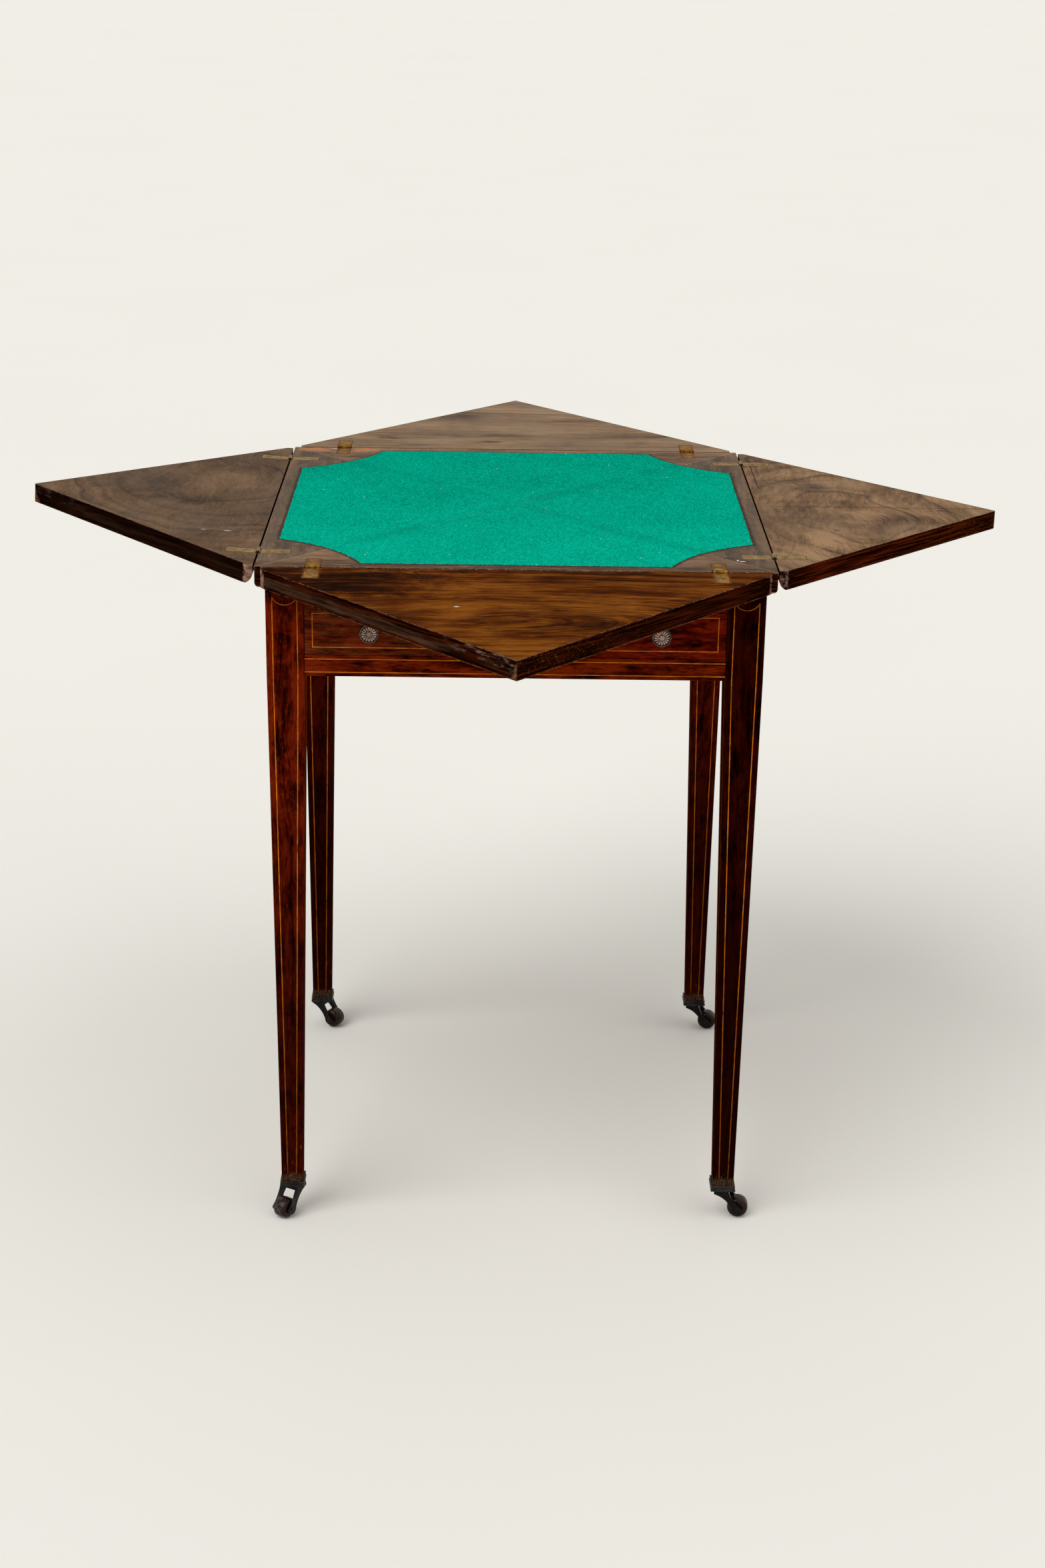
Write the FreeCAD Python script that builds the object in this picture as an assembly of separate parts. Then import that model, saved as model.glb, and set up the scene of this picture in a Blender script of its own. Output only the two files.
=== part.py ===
import FreeCAD, Part
import math
import os

# Games table with a square turning top, four folding flaps and one drawer.
# Millimetres. The origin is on the floor under the middle of the top, +Z is up
# and the drawer faces -Y.

V = FreeCAD.Vector
x_axis = V(1, 0, 0)
y_axis = V(0, 1, 0)
z_axis = V(0, 0, 1)
origin = V(0, 0, 0)

# Turning top
top_side = 530.0
top_height = 752.0
panel_thickness = 23.0
panel_edge_radius = 6.0
turning_gap = 2.0
baize_thickness = 1.2
baize_border = 16.5
baize_corner = 90.5
baize_corner_bulge = 13.0
baize_side_gap = 0.3

# Flaps
flap_thickness = 20.5
flap_joint = 2.0
flap_mitre = 0.35
flap_tip_cut = 6.5
flap_apex_radius = 1.0
flap_edge_radius = 11.0
flap_arris = 0.8
sag_clearance = 0.5
back_flap_rise = 0.7
left_flap_rise = 3.6
right_flap_rise = 0.0

# Hinges
hinge_from_corner = 59.0
hinge_width = 16.5
hinge_leaf_length = 34.0
hinge_leaf_thickness = 1.6
hinge_axis_rise = 0.4
hinge_barrel_radius = 2.2
hinge_pin_radius = 0.9
hinge_pin_clearance = 0.06
hinge_middle_knuckle = 6.1
hinge_end_gap = 0.2
hinge_running_gap = 0.4

# Frame
top_overhang = 9.5
frieze_height = 94.0
rail_thickness = 20.0
rail_setback = 1.0
drawer_rail_height = 23.0
top_rail_thickness = 18.0
top_rail_depth = 60.0
tenon_length = 15.0
tenon_thickness = 8.0
tenon_shoulder = 4.0

# Legs
leg_width = 39.0
foot_width = 23.0
foot_inset = 4.4
leg_arris = 0.6

# Stringing let into the wood
string_width = 0.9
string_depth = 1.0
leg_string_inset = 6.8
leg_string_from_top = 10.0
leg_string_sag = 8.0
rail_string_inset = 4.5
drawer_string_inset = 7.5

# Pivot of the top
bearer_width = 90.0
bearer_housing = 8.0
pivot_radius = 9.0
pivot_clearance = 0.08
flange_radius = 45.0
flange_thickness = 5.0
washer_radius = 18.0
washer_thickness = 2.0
nut_across_flats = 27.0
nut_height = 6.5
nut_pocket_radius = 20.0
nut_pocket_depth = 10.0
glide_length = 120.0
glide_width = 14.0
seat_gap = 0.3

# Drawer
drawer_side_gap = 0.6
drawer_top_gap = 0.6
drawer_front_thickness = 20.0
drawer_side_thickness = 9.0
drawer_side_height = 44.0
drawer_back_thickness = 8.0
drawer_back_drop = 7.0
drawer_rear_room = 69.0
drawer_bottom_thickness = 6.0
drawer_bottom_rise = 4.0
drawer_groove = 4.0
back_inset = 8.0
tail_count = 3
tail_length = 13.0
tail_root = 7.0
tail_tip = 10.0
runner_thickness = 14.0
runner_ledge = 14.0
guide_height = 16.0

# Knobs
knob_radius = 10.5
knob_projection = 13.0
knob_from_drawer_end = 66.6
knob_stem_radius = 3.0
knob_foot_radius = 7.4
knob_foot_height = 1.4
knob_neck_radius = 4.5
knob_neck_start = 2.6
knob_bell_depth = 3.2
knob_rim_depth = 3.4
knob_bead = 2.2
knob_rim_radius = 9.8
knob_boss_radius = 3.2
knob_petal_radius = 8.2
knob_petal_dip = 1.5
knob_petals = 16
knob_groove = 0.85

# Castors
cup_base_height = 35.0
cup_height = 6.0
cup_width = 27.4
cup_waist = 25.2
cup_rim = 26.6
cup_floor = 2.5
cup_moulding = 2.0
cup_cove = 0.7
stem_radius = 4.0
stem_length = 36.0
stem_clearance = 0.08
castor_trail = 18.0
wheel_radius = 11.7
wheel_width = 15.5
wheel_side_gap = 0.4
axle_radius = 2.2
axle_clearance = 0.05
axle_head_radius = 2.8
axle_head_height = 0.6
cheek_thickness = 3.6
horn_eye_radius = 6.2
horn_crown_height = 4.0
horn_heel = 8.5
horn_toe = 7.5
horn_front_bow = -2.5
horn_rear_bow = 3.4
horn_boss_radius = 8.0
horn_boss_height = 0.6
wheel_hub_radius = 5.0
wheel_hub_recess = 0.3
wheel_ring_width = 1.2
wheel_ring_depth = 1.0
wheel_face_radius = 8.4
wheel_crown = 0.35
wheel_tread_half = 4.2
front_left_castor_angle = -120.0
front_right_castor_angle = -6.0
rear_left_castor_angle = -32.0
rear_right_castor_angle = -10.0

# Worked out from the sizes above
top_half = top_side / 2
hinge_line = top_half + flap_joint / 2
hinge_height = top_height + hinge_axis_rise
hinge_place = top_half - hinge_from_corner
panel_underside = top_height - panel_thickness
frame_top = panel_underside - turning_gap
frame_half = top_half - top_overhang
rail_bottom = frame_top - frieze_height
rail_outer = frame_half - rail_setback
rail_inner = rail_outer - rail_thickness
rail_middle = rail_outer - rail_thickness / 2
leg_inner = frame_half - leg_width
foot_outer = frame_half - foot_inset
foot_inner = foot_outer - foot_width
castor_place = foot_outer - foot_width / 2
leg_foot = cup_base_height + cup_floor
cup_top = cup_base_height + cup_height
drawer_rail_top = rail_bottom + drawer_rail_height
top_rail_bottom = frame_top - top_rail_thickness
drawer_half = leg_inner - drawer_side_gap
drawer_base = drawer_rail_top + seat_gap
drawer_front_top = top_rail_bottom - drawer_top_gap
drawer_inner = drawer_half - drawer_side_thickness
drawer_front_back = -rail_outer + drawer_front_thickness
drawer_rear = rail_inner - drawer_rear_room
corner_reach = frame_half * math.sqrt(2) - hinge_line
corner_drop = panel_thickness + turning_gap - flap_thickness - sag_clearance
front_flap_sag = math.degrees(math.atan2(corner_drop, corner_reach))

side_turns = {"front": 0, "right": 90, "back": 180, "left": -90}
flap_rise = {
    "front": -front_flap_sag,
    "right": right_flap_rise,
    "back": back_flap_rise,
    "left": left_flap_rise,
}
leg_turns = {"front_left": 0, "front_right": 90, "rear_right": 180, "rear_left": 270}
castor_angles = {
    "front_left": front_left_castor_angle,
    "front_right": front_right_castor_angle,
    "rear_right": rear_right_castor_angle,
    "rear_left": rear_left_castor_angle,
}

nodes = {}


def box(low, high):
    size = [b - a for a, b in zip(low, high)]
    return Part.makeBox(size[0], size[1], size[2], V(*low))


def square_wire(low, high, z):
    corners = [V(low, low, z), V(high, low, z), V(high, high, z), V(low, high, z)]
    return Part.makePolygon(corners + corners[:1])


def rectangle_wire(x_low, x_high, y_low, y_high, z):
    corners = [V(x_low, y_low, z), V(x_high, y_low, z), V(x_high, y_high, z), V(x_low, y_high, z)]
    return Part.makePolygon(corners + corners[:1])


def prism(points, direction):
    return Part.Face(Part.makePolygon(points + points[:1])).extrude(direction)


def turned(shape, angle):
    return shape.rotated(origin, z_axis, angle)


def swung(shape, side):
    # Lifts a piece made level on the front side to its flap's rest angle, then turns it to its side.
    lifted = shape.rotated(V(0, -hinge_line, hinge_height), -x_axis, flap_rise[side])
    return turned(lifted, side_turns[side])


def underside_edges(board, z):
    return [edge for edge in board.Edges if abs(edge.CenterOfMass.z - z) < 0.001]


def fused(first, others):
    return first.fuse(others).removeSplitter()


# Hinges, made on the front side with the axis along X
def knuckle(start, end, x):
    barrel = Part.makeCylinder(hinge_barrel_radius, end - start, V(x + start, 0, 0), x_axis)
    bore_radius = hinge_pin_radius + hinge_pin_clearance
    bore = Part.makeCylinder(bore_radius, end - start, V(x + start, 0, 0), x_axis)
    return barrel, bore


def hinge_leaf(x, outward, knuckle_spans):
    # A plate flush with the wood, relieved round the other leaf's knuckles.
    half = hinge_width / 2
    relief = hinge_barrel_radius + hinge_running_gap
    low = -hinge_axis_rise - hinge_leaf_thickness
    ends = sorted([outward * relief, outward * hinge_leaf_length])
    leaf = box((x - half, ends[0], low), (x + half, ends[1], -hinge_axis_rise))
    tongues = []
    bores = []
    for start, end in knuckle_spans:
        reach = sorted([0, outward * relief])
        tongue = box((x + start, reach[0], low), (x + end, reach[1], -hinge_axis_rise))
        barrel, bore = knuckle(start, end, x)
        tongues += [tongue, barrel]
        bores.append(bore)
    solid = fused(leaf, tongues).cut(bores)
    return solid.translated(V(0, -hinge_line, hinge_height))


def hinge_spans():
    half = hinge_width / 2
    middle = hinge_middle_knuckle / 2
    outer = middle + hinge_end_gap
    return [(-middle, middle)], [(-half, -outer), (outer, half)]


def barrel_notch(x):
    length = hinge_width + 2 * hinge_running_gap
    radius = hinge_barrel_radius + hinge_running_gap
    return Part.makeCylinder(radius, length, V(x - length / 2, -hinge_line, hinge_height), x_axis)


middle_spans, end_spans = hinge_spans()
hinge_xs = [-hinge_place, hinge_place]
front_panel_leaves = [hinge_leaf(x, 1, middle_spans) for x in hinge_xs]
front_flap_leaves = [hinge_leaf(x, -1, end_spans) for x in hinge_xs]
front_notches = [barrel_notch(x) for x in hinge_xs]
front_pins = []
for x in hinge_xs:
    pin_start = V(x - hinge_width / 2, -hinge_line, hinge_height)
    front_pins.append(Part.makeCylinder(hinge_pin_radius, hinge_width, pin_start, x_axis))


# Flaps, made on the front side and level
def make_flap():
    # The two free edges lie along the diagonals of the panel when the flap is folded in.
    # The edge along the hinges is rounded underneath.
    tip = hinge_line - flap_mitre * math.sqrt(2)
    inner = flap_joint / 2
    cut_half = tip - inner - flap_tip_cut
    underside = top_height - flap_thickness
    outline = [
        V(-cut_half, -hinge_line - inner, 0),
        V(cut_half, -hinge_line - inner, 0),
        V(cut_half, -hinge_line - inner - flap_tip_cut, 0),
        V(0, -hinge_line - tip, 0),
        V(-cut_half, -hinge_line - inner - flap_tip_cut, 0),
    ]
    board = prism(outline, V(0, 0, -flap_thickness)).translated(V(0, 0, top_height))
    apex = [edge for edge in board.Edges if edge.CenterOfMass.y < -hinge_line - tip + flap_mitre]
    board = board.makeFillet(flap_apex_radius, apex)
    free_edges = []
    for edge in underside_edges(board, underside):
        slope = edge.tangentAt(edge.FirstParameter)
        if abs(slope.x) > 0.5 and abs(slope.y) > 0.5:
            free_edges.append(edge)
    board = board.makeChamfer(flap_arris, free_edges)
    near = -hinge_line - inner
    far = near - flap_edge_radius
    waste = box((-hinge_line, far, underside), (hinge_line, near, underside + flap_edge_radius))
    round_centre = V(-hinge_line, far, underside + flap_edge_radius)
    waste = waste.cut(Part.makeCylinder(flap_edge_radius, 2 * hinge_line, round_centre, x_axis))
    return board.cut(front_notches + front_flap_leaves + [waste])


front_flap = make_flap()
for side in side_turns:
    nodes[side + "_flap"] = swung(front_flap, side)
    flap_leaves = [swung(leaf, side) for leaf in front_flap_leaves]
    nodes[side + "_flap_hinge_leaves"] = Part.makeCompound(flap_leaves)


# Baize, with each corner cut back in a curve round the wooden spandrel
def baize_face(gap):
    edge = top_half - baize_border - gap
    start = edge - baize_corner + gap
    bulge = (edge + start) / 2 - (baize_corner_bulge + gap) / math.sqrt(2)
    edges = []
    for turn in range(4):
        angle = 90 * turn
        points = [V(-start, -edge, 0), V(start, -edge, 0), V(bulge, -bulge, 0), V(edge, -start, 0)]
        a, b, c, d = [FreeCAD.Rotation(z_axis, angle).multVec(p) for p in points]
        edges.append(Part.makeLine(a, b))
        edges.append(Part.Arc(b, c, d).toShape())
    return Part.Face(Part.Wire(edges))


baize_base = top_height - baize_thickness
baize_lift = V(0, 0, baize_thickness)
baize_pocket = baize_face(0).extrude(baize_lift).translated(V(0, 0, baize_base))
nodes["baize"] = baize_face(baize_side_gap).extrude(baize_lift).translated(V(0, 0, baize_base))


# Pivot under the panel
nut_pocket_roof = top_rail_bottom + nut_pocket_depth
washer_top = nut_pocket_roof - seat_gap
nut_top = washer_top - washer_thickness
nut_base = nut_top - nut_height
flange = Part.makeCylinder(flange_radius, flange_thickness, V(0, 0, panel_underside))
shank = Part.makeCylinder(pivot_radius, panel_underside - nut_base, V(0, 0, nut_base))
washer = Part.makeCylinder(washer_radius, washer_thickness, V(0, 0, nut_top))
nut_circle = nut_across_flats / math.sqrt(3)
nut_corners = []
for corner in range(6):
    turn = math.radians(60 * corner)
    nut_corners.append(V(nut_circle * math.cos(turn), nut_circle * math.sin(turn), nut_base))
nodes["pivot_stud"] = fused(flange, [shank])
nodes["pivot_washer"] = washer.cut(shank)
nodes["pivot_nut"] = prism(nut_corners, V(0, 0, nut_height)).cut(shank)


# Panel
def make_panel():
    board = box((-top_half, -top_half, panel_underside), (top_half, top_half, top_height))
    board = board.makeFillet(panel_edge_radius, underside_edges(board, panel_underside))
    cutters = [baize_pocket, flange]
    for side in side_turns:
        for piece in front_panel_leaves + front_notches:
            cutters.append(turned(piece, side_turns[side]))
    return board.cut(cutters)


nodes["top_panel"] = make_panel()
all_pins = []
for side in side_turns:
    leaves = [turned(leaf, side_turns[side]) for leaf in front_panel_leaves]
    nodes["panel_hinge_leaves_" + side] = Part.makeCompound(leaves)
    all_pins += [turned(pin, side_turns[side]) for pin in front_pins]
nodes["hinge_pins"] = Part.makeCompound(all_pins)


# Legs, made at the front left corner
def leg_outer(z):
    share = min(1, max(0, (rail_bottom - z) / (rail_bottom - leg_foot)))
    return frame_half - share * foot_inset


def leg_inside(z):
    share = min(1, max(0, (rail_bottom - z) / (rail_bottom - leg_foot)))
    return leg_inner + share * (foot_inner - leg_inner)


def leg_section(z):
    # A square with its arrises taken off.
    low = -leg_outer(z)
    high = -leg_inside(z)
    near = low + leg_arris
    far = high - leg_arris
    corners = [V(near, low, z), V(far, low, z), V(high, near, z), V(high, far, z),
               V(far, high, z), V(near, high, z), V(low, far, z), V(low, near, z)]
    return Part.makePolygon(corners + corners[:1])


def make_leg():
    return Part.makeLoft([leg_section(z) for z in (frame_top, rail_bottom, leg_foot)], True, True)


def leg_line(outer_edge, outer_face, levels):
    # One line of stringing down a face that looks along Y, inset from one edge of that face.
    half = string_width / 2
    sections = []
    for z in levels:
        x = -leg_outer(z) + leg_string_inset if outer_edge else -leg_inside(z) - leg_string_inset
        y = -leg_outer(z) if outer_face else -leg_inside(z) - string_depth
        sections.append(rectangle_wire(x - half, x + half, y, y + string_depth, z))
    return Part.makeLoft(sections, True, True)


string_top = frame_top - leg_string_from_top


def leg_swag(lines):
    # The hanging curve that joins the two lines at the top of an outer face.
    left = -frame_half + leg_string_inset
    right = -leg_inner - leg_string_inset
    chord = (right - left) / 2
    radius = (chord ** 2 + leg_string_sag ** 2) / (2 * leg_string_sag)
    centre = V((left + right) / 2, -frame_half, string_top - leg_string_sag + radius)
    half = string_width / 2
    ring = Part.makeCylinder(radius + half, string_depth, centre, y_axis)
    ring = ring.cut(Part.makeCylinder(radius - half, string_depth, centre, y_axis))
    window_low = (left, -frame_half, string_top - leg_string_sag - string_width)
    window_high = (right, -frame_half + string_depth, string_top)
    return ring.common(box(window_low, window_high)).cut(lines)


def leg_strings():
    outer_levels = [string_top, rail_bottom, cup_top]
    inner_levels = [rail_bottom, cup_top]
    outer_lines = [leg_line(edge, True, outer_levels) for edge in (True, False)]
    inner_lines = [leg_line(edge, False, inner_levels) for edge in (True, False)]
    pieces = outer_lines + [leg_swag(outer_lines)] + inner_lines
    return pieces + [piece.mirror(origin, V(1, -1, 0)) for piece in pieces]


# Castor cups, made at the front left corner
def make_cup():
    levels = [
        (cup_width, cup_base_height),
        (cup_width, cup_base_height + cup_moulding),
        (cup_waist, cup_base_height + cup_moulding + cup_cove),
        (cup_waist, cup_top - cup_moulding),
        (cup_rim, cup_top - cup_moulding + cup_cove),
        (cup_rim, cup_top),
    ]
    sections = []
    for width, z in levels:
        sections.append(square_wire(-castor_place - width / 2, -castor_place + width / 2, z))
    return Part.makeLoft(sections, True, True)


plain_leg = make_leg()
strings = leg_strings()
castor_axis = V(-castor_place, -castor_place, cup_base_height)
stem_bore = Part.makeCylinder(stem_radius + stem_clearance, stem_length, castor_axis)
strung_leg = plain_leg.cut(strings + [stem_bore])
front_left_cup = make_cup().cut([plain_leg, stem_bore])


# Rails. The left rail also gives the right and the back one.
def rail_lines(length_half):
    lines = []
    for z in (rail_bottom + rail_string_inset, drawer_rail_top - rail_string_inset):
        low = (-rail_outer, -length_half, z - string_width / 2)
        high = (-rail_outer + string_depth, length_half, z + string_width / 2)
        lines.append(box(low, high))
    return lines


def make_side_rail():
    board = box((-rail_outer, -leg_inner, rail_bottom), (-rail_inner, leg_inner, frame_top))
    reach = leg_inner + tenon_length
    tenon_low = (-rail_middle - tenon_thickness / 2, -reach, rail_bottom + tenon_shoulder)
    tenon_high = (-rail_middle + tenon_thickness / 2, reach, frame_top - tenon_shoulder)
    return fused(board, [box(tenon_low, tenon_high)])


def make_front_rail(bottom, top, depth):
    board = box((-leg_inner, -rail_outer, bottom), (leg_inner, -rail_outer + depth, top))
    reach = leg_inner + tenon_length
    tenon_low = (-reach, -rail_middle - tenon_thickness / 2, bottom + tenon_shoulder)
    tenon_high = (reach, -rail_middle + tenon_thickness / 2, top - tenon_shoulder)
    return fused(board, [box(tenon_low, tenon_high)])


rail_strings = rail_lines(leg_inner)
plain_side_rail = make_side_rail()
bearer = box((-rail_inner - bearer_housing, -bearer_width / 2, top_rail_bottom),
             (rail_inner + bearer_housing, bearer_width / 2, frame_top))
pivot_bore = Part.makeCylinder(pivot_radius + pivot_clearance, frieze_height, V(0, 0, rail_bottom))
nut_pocket = Part.makeCylinder(nut_pocket_radius, nut_pocket_depth, V(0, 0, top_rail_bottom))
nodes["pivot_bearer"] = bearer.cut([pivot_bore, nut_pocket])

drawer_rail_depth = rail_outer - leg_inner
drawer_rail_strings = [turned(line, side_turns["right"]) for line in rail_strings]
nodes["left_rail"] = plain_side_rail.cut(rail_strings + [bearer])
nodes["right_rail"] = turned(nodes["left_rail"], 180)
nodes["back_rail"] = turned(plain_side_rail.cut(rail_strings), -90)
plain_drawer_rail = make_front_rail(rail_bottom, drawer_rail_top, drawer_rail_depth)
nodes["drawer_rail"] = plain_drawer_rail.cut(drawer_rail_strings)
nodes["top_front_rail"] = make_front_rail(top_rail_bottom, frame_top, top_rail_depth)
all_rail_strings = []
for turn in side_turns.values():
    all_rail_strings += [turned(line, turn) for line in rail_strings]
nodes["rail_stringing"] = Part.makeCompound(all_rail_strings)

rail_names = ["left_rail", "right_rail", "back_rail", "drawer_rail", "top_front_rail"]
rails = [nodes[name] for name in rail_names]
all_leg_strings = []
for corner, turn in leg_turns.items():
    nodes[corner + "_leg"] = turned(strung_leg, turn).cut(rails)
    nodes[corner + "_castor_cup"] = turned(front_left_cup, turn)
    all_leg_strings += [turned(piece, turn) for piece in strings]
nodes["leg_stringing"] = Part.makeCompound(all_leg_strings)

# Strips of felt on the rails that the top turns on
glide_low = (-rail_middle - glide_width / 2, -glide_length / 2, frame_top)
glide_high = (-rail_middle + glide_width / 2, glide_length / 2, panel_underside - seat_gap)
glide = box(glide_low, glide_high)
nodes["top_glides"] = Part.makeCompound([turned(glide, turn) for turn in side_turns.values()])


# Drawer runners, each with a guide that keeps the drawer straight
def make_runner():
    guide_face = -drawer_half - seat_gap
    ledge_face = guide_face + runner_ledge
    runner_base = drawer_rail_top - runner_thickness
    profile = [
        V(-rail_inner, 0, runner_base),
        V(ledge_face, 0, runner_base),
        V(ledge_face, 0, drawer_rail_top),
        V(guide_face, 0, drawer_rail_top),
        V(guide_face, 0, drawer_rail_top + guide_height),
        V(-rail_inner, 0, drawer_rail_top + guide_height),
    ]
    return prism(profile, V(0, 2 * leg_inner, 0)).translated(V(0, -leg_inner, 0))


nodes["left_drawer_runner"] = make_runner()
nodes["right_drawer_runner"] = nodes["left_drawer_runner"].mirror(origin, x_axis)


# Drawer
def drawer_tails():
    # Dovetails that lap into the drawer front.
    pitch = drawer_side_height / tail_count
    tails = []
    for number in range(tail_count):
        z = drawer_base + pitch * (number + 0.5)
        tail = [
            V(-drawer_half, drawer_front_back, z - tail_root / 2),
            V(-drawer_half, drawer_front_back, z + tail_root / 2),
            V(-drawer_half, drawer_front_back - tail_length, z + tail_tip / 2),
            V(-drawer_half, drawer_front_back - tail_length, z - tail_tip / 2),
        ]
        tails.append(prism(tail, V(drawer_side_thickness, 0, 0)))
    return tails


def inset_panel(inset):
    low = (-drawer_half + inset, -rail_outer, drawer_base + inset)
    high = (drawer_half - inset, -rail_outer + string_depth, drawer_front_top - inset)
    return box(low, high)


bottom_low = drawer_base + drawer_bottom_rise
bottom_top = bottom_low + drawer_bottom_thickness
groove_face = drawer_inner + drawer_groove
drawer_bottom = box((-groove_face, drawer_front_back - drawer_groove, bottom_low),
                    (groove_face, drawer_rear, bottom_top))
side_top = drawer_base + drawer_side_height
back_face = drawer_rear - back_inset
drawer_back = box((-groove_face, back_face - drawer_back_thickness, bottom_top),
                  (groove_face, back_face, side_top - drawer_back_drop))
plain_side = box((-drawer_half, drawer_front_back, drawer_base), (-drawer_inner, drawer_rear, side_top))
left_side = fused(plain_side, drawer_tails()).cut([drawer_bottom, drawer_back])
right_side = left_side.mirror(origin, x_axis)
front_board = box((-drawer_half, -rail_outer, drawer_base),
                  (drawer_half, drawer_front_back, drawer_front_top))
drawer_string = inset_panel(drawer_string_inset).cut(inset_panel(drawer_string_inset + string_width))


# Knobs, turned about Y, with a rosette of petals
def make_knob():
    face = -knob_projection
    bell_start = face + knob_rim_depth + knob_bell_depth
    points = [
        V(0, drawer_front_thickness, 0),
        V(knob_stem_radius, drawer_front_thickness, 0),
        V(knob_stem_radius, 0, 0),
        V(knob_foot_radius, 0, 0),
        V(knob_foot_radius, -knob_foot_height, 0),
        V(knob_neck_radius, -knob_neck_start, 0),
        V(knob_neck_radius, bell_start, 0),
    ]
    edges = [Part.makeLine(a, b) for a, b in zip(points, points[1:])]
    rim = V(knob_rim_radius, face + knob_rim_depth, 0)
    bell_middle = V((knob_neck_radius + knob_rim_radius) / 2, bell_start - knob_bell_depth / 3, 0)
    edges.append(Part.Arc(points[-1], bell_middle, rim).toShape())
    bead = V(knob_rim_radius, face + knob_rim_depth - knob_bead, 0)
    bead_middle = V(knob_radius, face + knob_rim_depth - knob_bead / 2, 0)
    edges.append(Part.Arc(rim, bead_middle, bead).toShape())
    petal_edge = V(knob_petal_radius, face + knob_petal_dip, 0)
    edges.append(Part.makeLine(bead, petal_edge))
    boss = V(knob_boss_radius, face + knob_petal_dip / 2, 0)
    petal_middle = V((knob_petal_radius + knob_boss_radius) / 2, face + knob_petal_dip / 4, 0)
    edges.append(Part.Arc(petal_edge, petal_middle, boss).toShape())
    crown = V(0, face, 0)
    edges.append(Part.Arc(boss, V(knob_boss_radius / 2, face + knob_petal_dip / 8, 0), crown).toShape())
    edges.append(Part.makeLine(crown, points[0]))
    body = Part.Face(Part.Wire(edges)).revolve(origin, y_axis, 360)
    grooves = []
    for petal in range(knob_petals):
        section = [
            V(knob_boss_radius, face - knob_petal_dip, -knob_groove),
            V(knob_boss_radius, face - knob_petal_dip, knob_groove),
            V(knob_boss_radius, face + knob_petal_dip, 0),
        ]
        groove = prism(section, V(knob_petal_radius - knob_boss_radius, 0, 0))
        grooves.append(groove.rotated(origin, y_axis, 360 / knob_petals * petal))
    return body.cut(grooves)


knob_height = (drawer_base + drawer_front_top) / 2
knob = make_knob()
knob_place = drawer_half - knob_from_drawer_end
left_knob = knob.translated(V(-knob_place, -rail_outer, knob_height))
right_knob = knob.translated(V(knob_place, -rail_outer, knob_height))
let_in = [left_side, right_side, drawer_bottom, drawer_string, left_knob, right_knob]
nodes["drawer_front"] = front_board.cut(let_in)
nodes["drawer_left_side"] = left_side
nodes["drawer_right_side"] = right_side
nodes["drawer_back"] = drawer_back
nodes["drawer_bottom"] = drawer_bottom
nodes["drawer_stringing"] = drawer_string
nodes["drawer_left_knob"] = left_knob
nodes["drawer_right_knob"] = right_knob


# Castors, made on the Z axis and trailing along +X
slot_half = wheel_width / 2 + wheel_side_gap
horn_half = slot_half + cheek_thickness
horn_top = cup_base_height - seat_gap


def bowed(start, end, bow):
    # An arc from start to end in the XZ plane that stands off its chord by bow.
    chord = end - start
    normal = V(-chord.z, 0, chord.x).normalize()
    return Part.Arc(start, (start + end) * 0.5 + normal * bow, end).toShape()


def make_horn():
    # Two curved cheeks under one crown, with the stem that turns in the leg.
    eye = V(castor_trail, 0, wheel_radius)
    crown_top = horn_top - horn_boss_height
    crown_low = crown_top - horn_crown_height
    heel = V(-horn_heel, 0, crown_low)
    heel_top = V(-horn_heel, 0, crown_top)
    toe_top = V(horn_toe, 0, crown_top)
    eye_front = eye + V(horn_eye_radius, 0, 0)
    eye_low = eye - V(0, 0, horn_eye_radius)
    eye_rear = eye - V(horn_eye_radius, 0, 0)
    edges = [
        Part.makeLine(heel, heel_top),
        Part.makeLine(heel_top, toe_top),
        bowed(toe_top, eye_front, horn_front_bow),
        Part.Arc(eye_front, eye_low, eye_rear).toShape(),
        bowed(eye_rear, heel, -horn_rear_bow),
    ]
    side = Part.Face(Part.Wire(edges)).translated(V(0, -horn_half, 0))
    body = side.extrude(V(0, 2 * horn_half, 0))
    slot = box((-horn_heel, -slot_half, 0), (castor_trail + wheel_radius, slot_half, crown_low))
    boss = Part.makeCylinder(horn_boss_radius, horn_boss_height, V(0, 0, crown_top))
    stem = Part.makeCylinder(stem_radius, stem_length, V(0, 0, crown_top))
    return fused(body.cut(slot), [boss, stem])


def make_axle():
    pin = Part.makeCylinder(axle_radius, 2 * horn_half, V(castor_trail, -horn_half, wheel_radius), y_axis)
    heads = []
    for end in (-horn_half - axle_head_height, horn_half):
        start = V(castor_trail, end, wheel_radius)
        heads.append(Part.makeCylinder(axle_head_radius, axle_head_height, start, y_axis))
    return fused(pin, heads)


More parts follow.
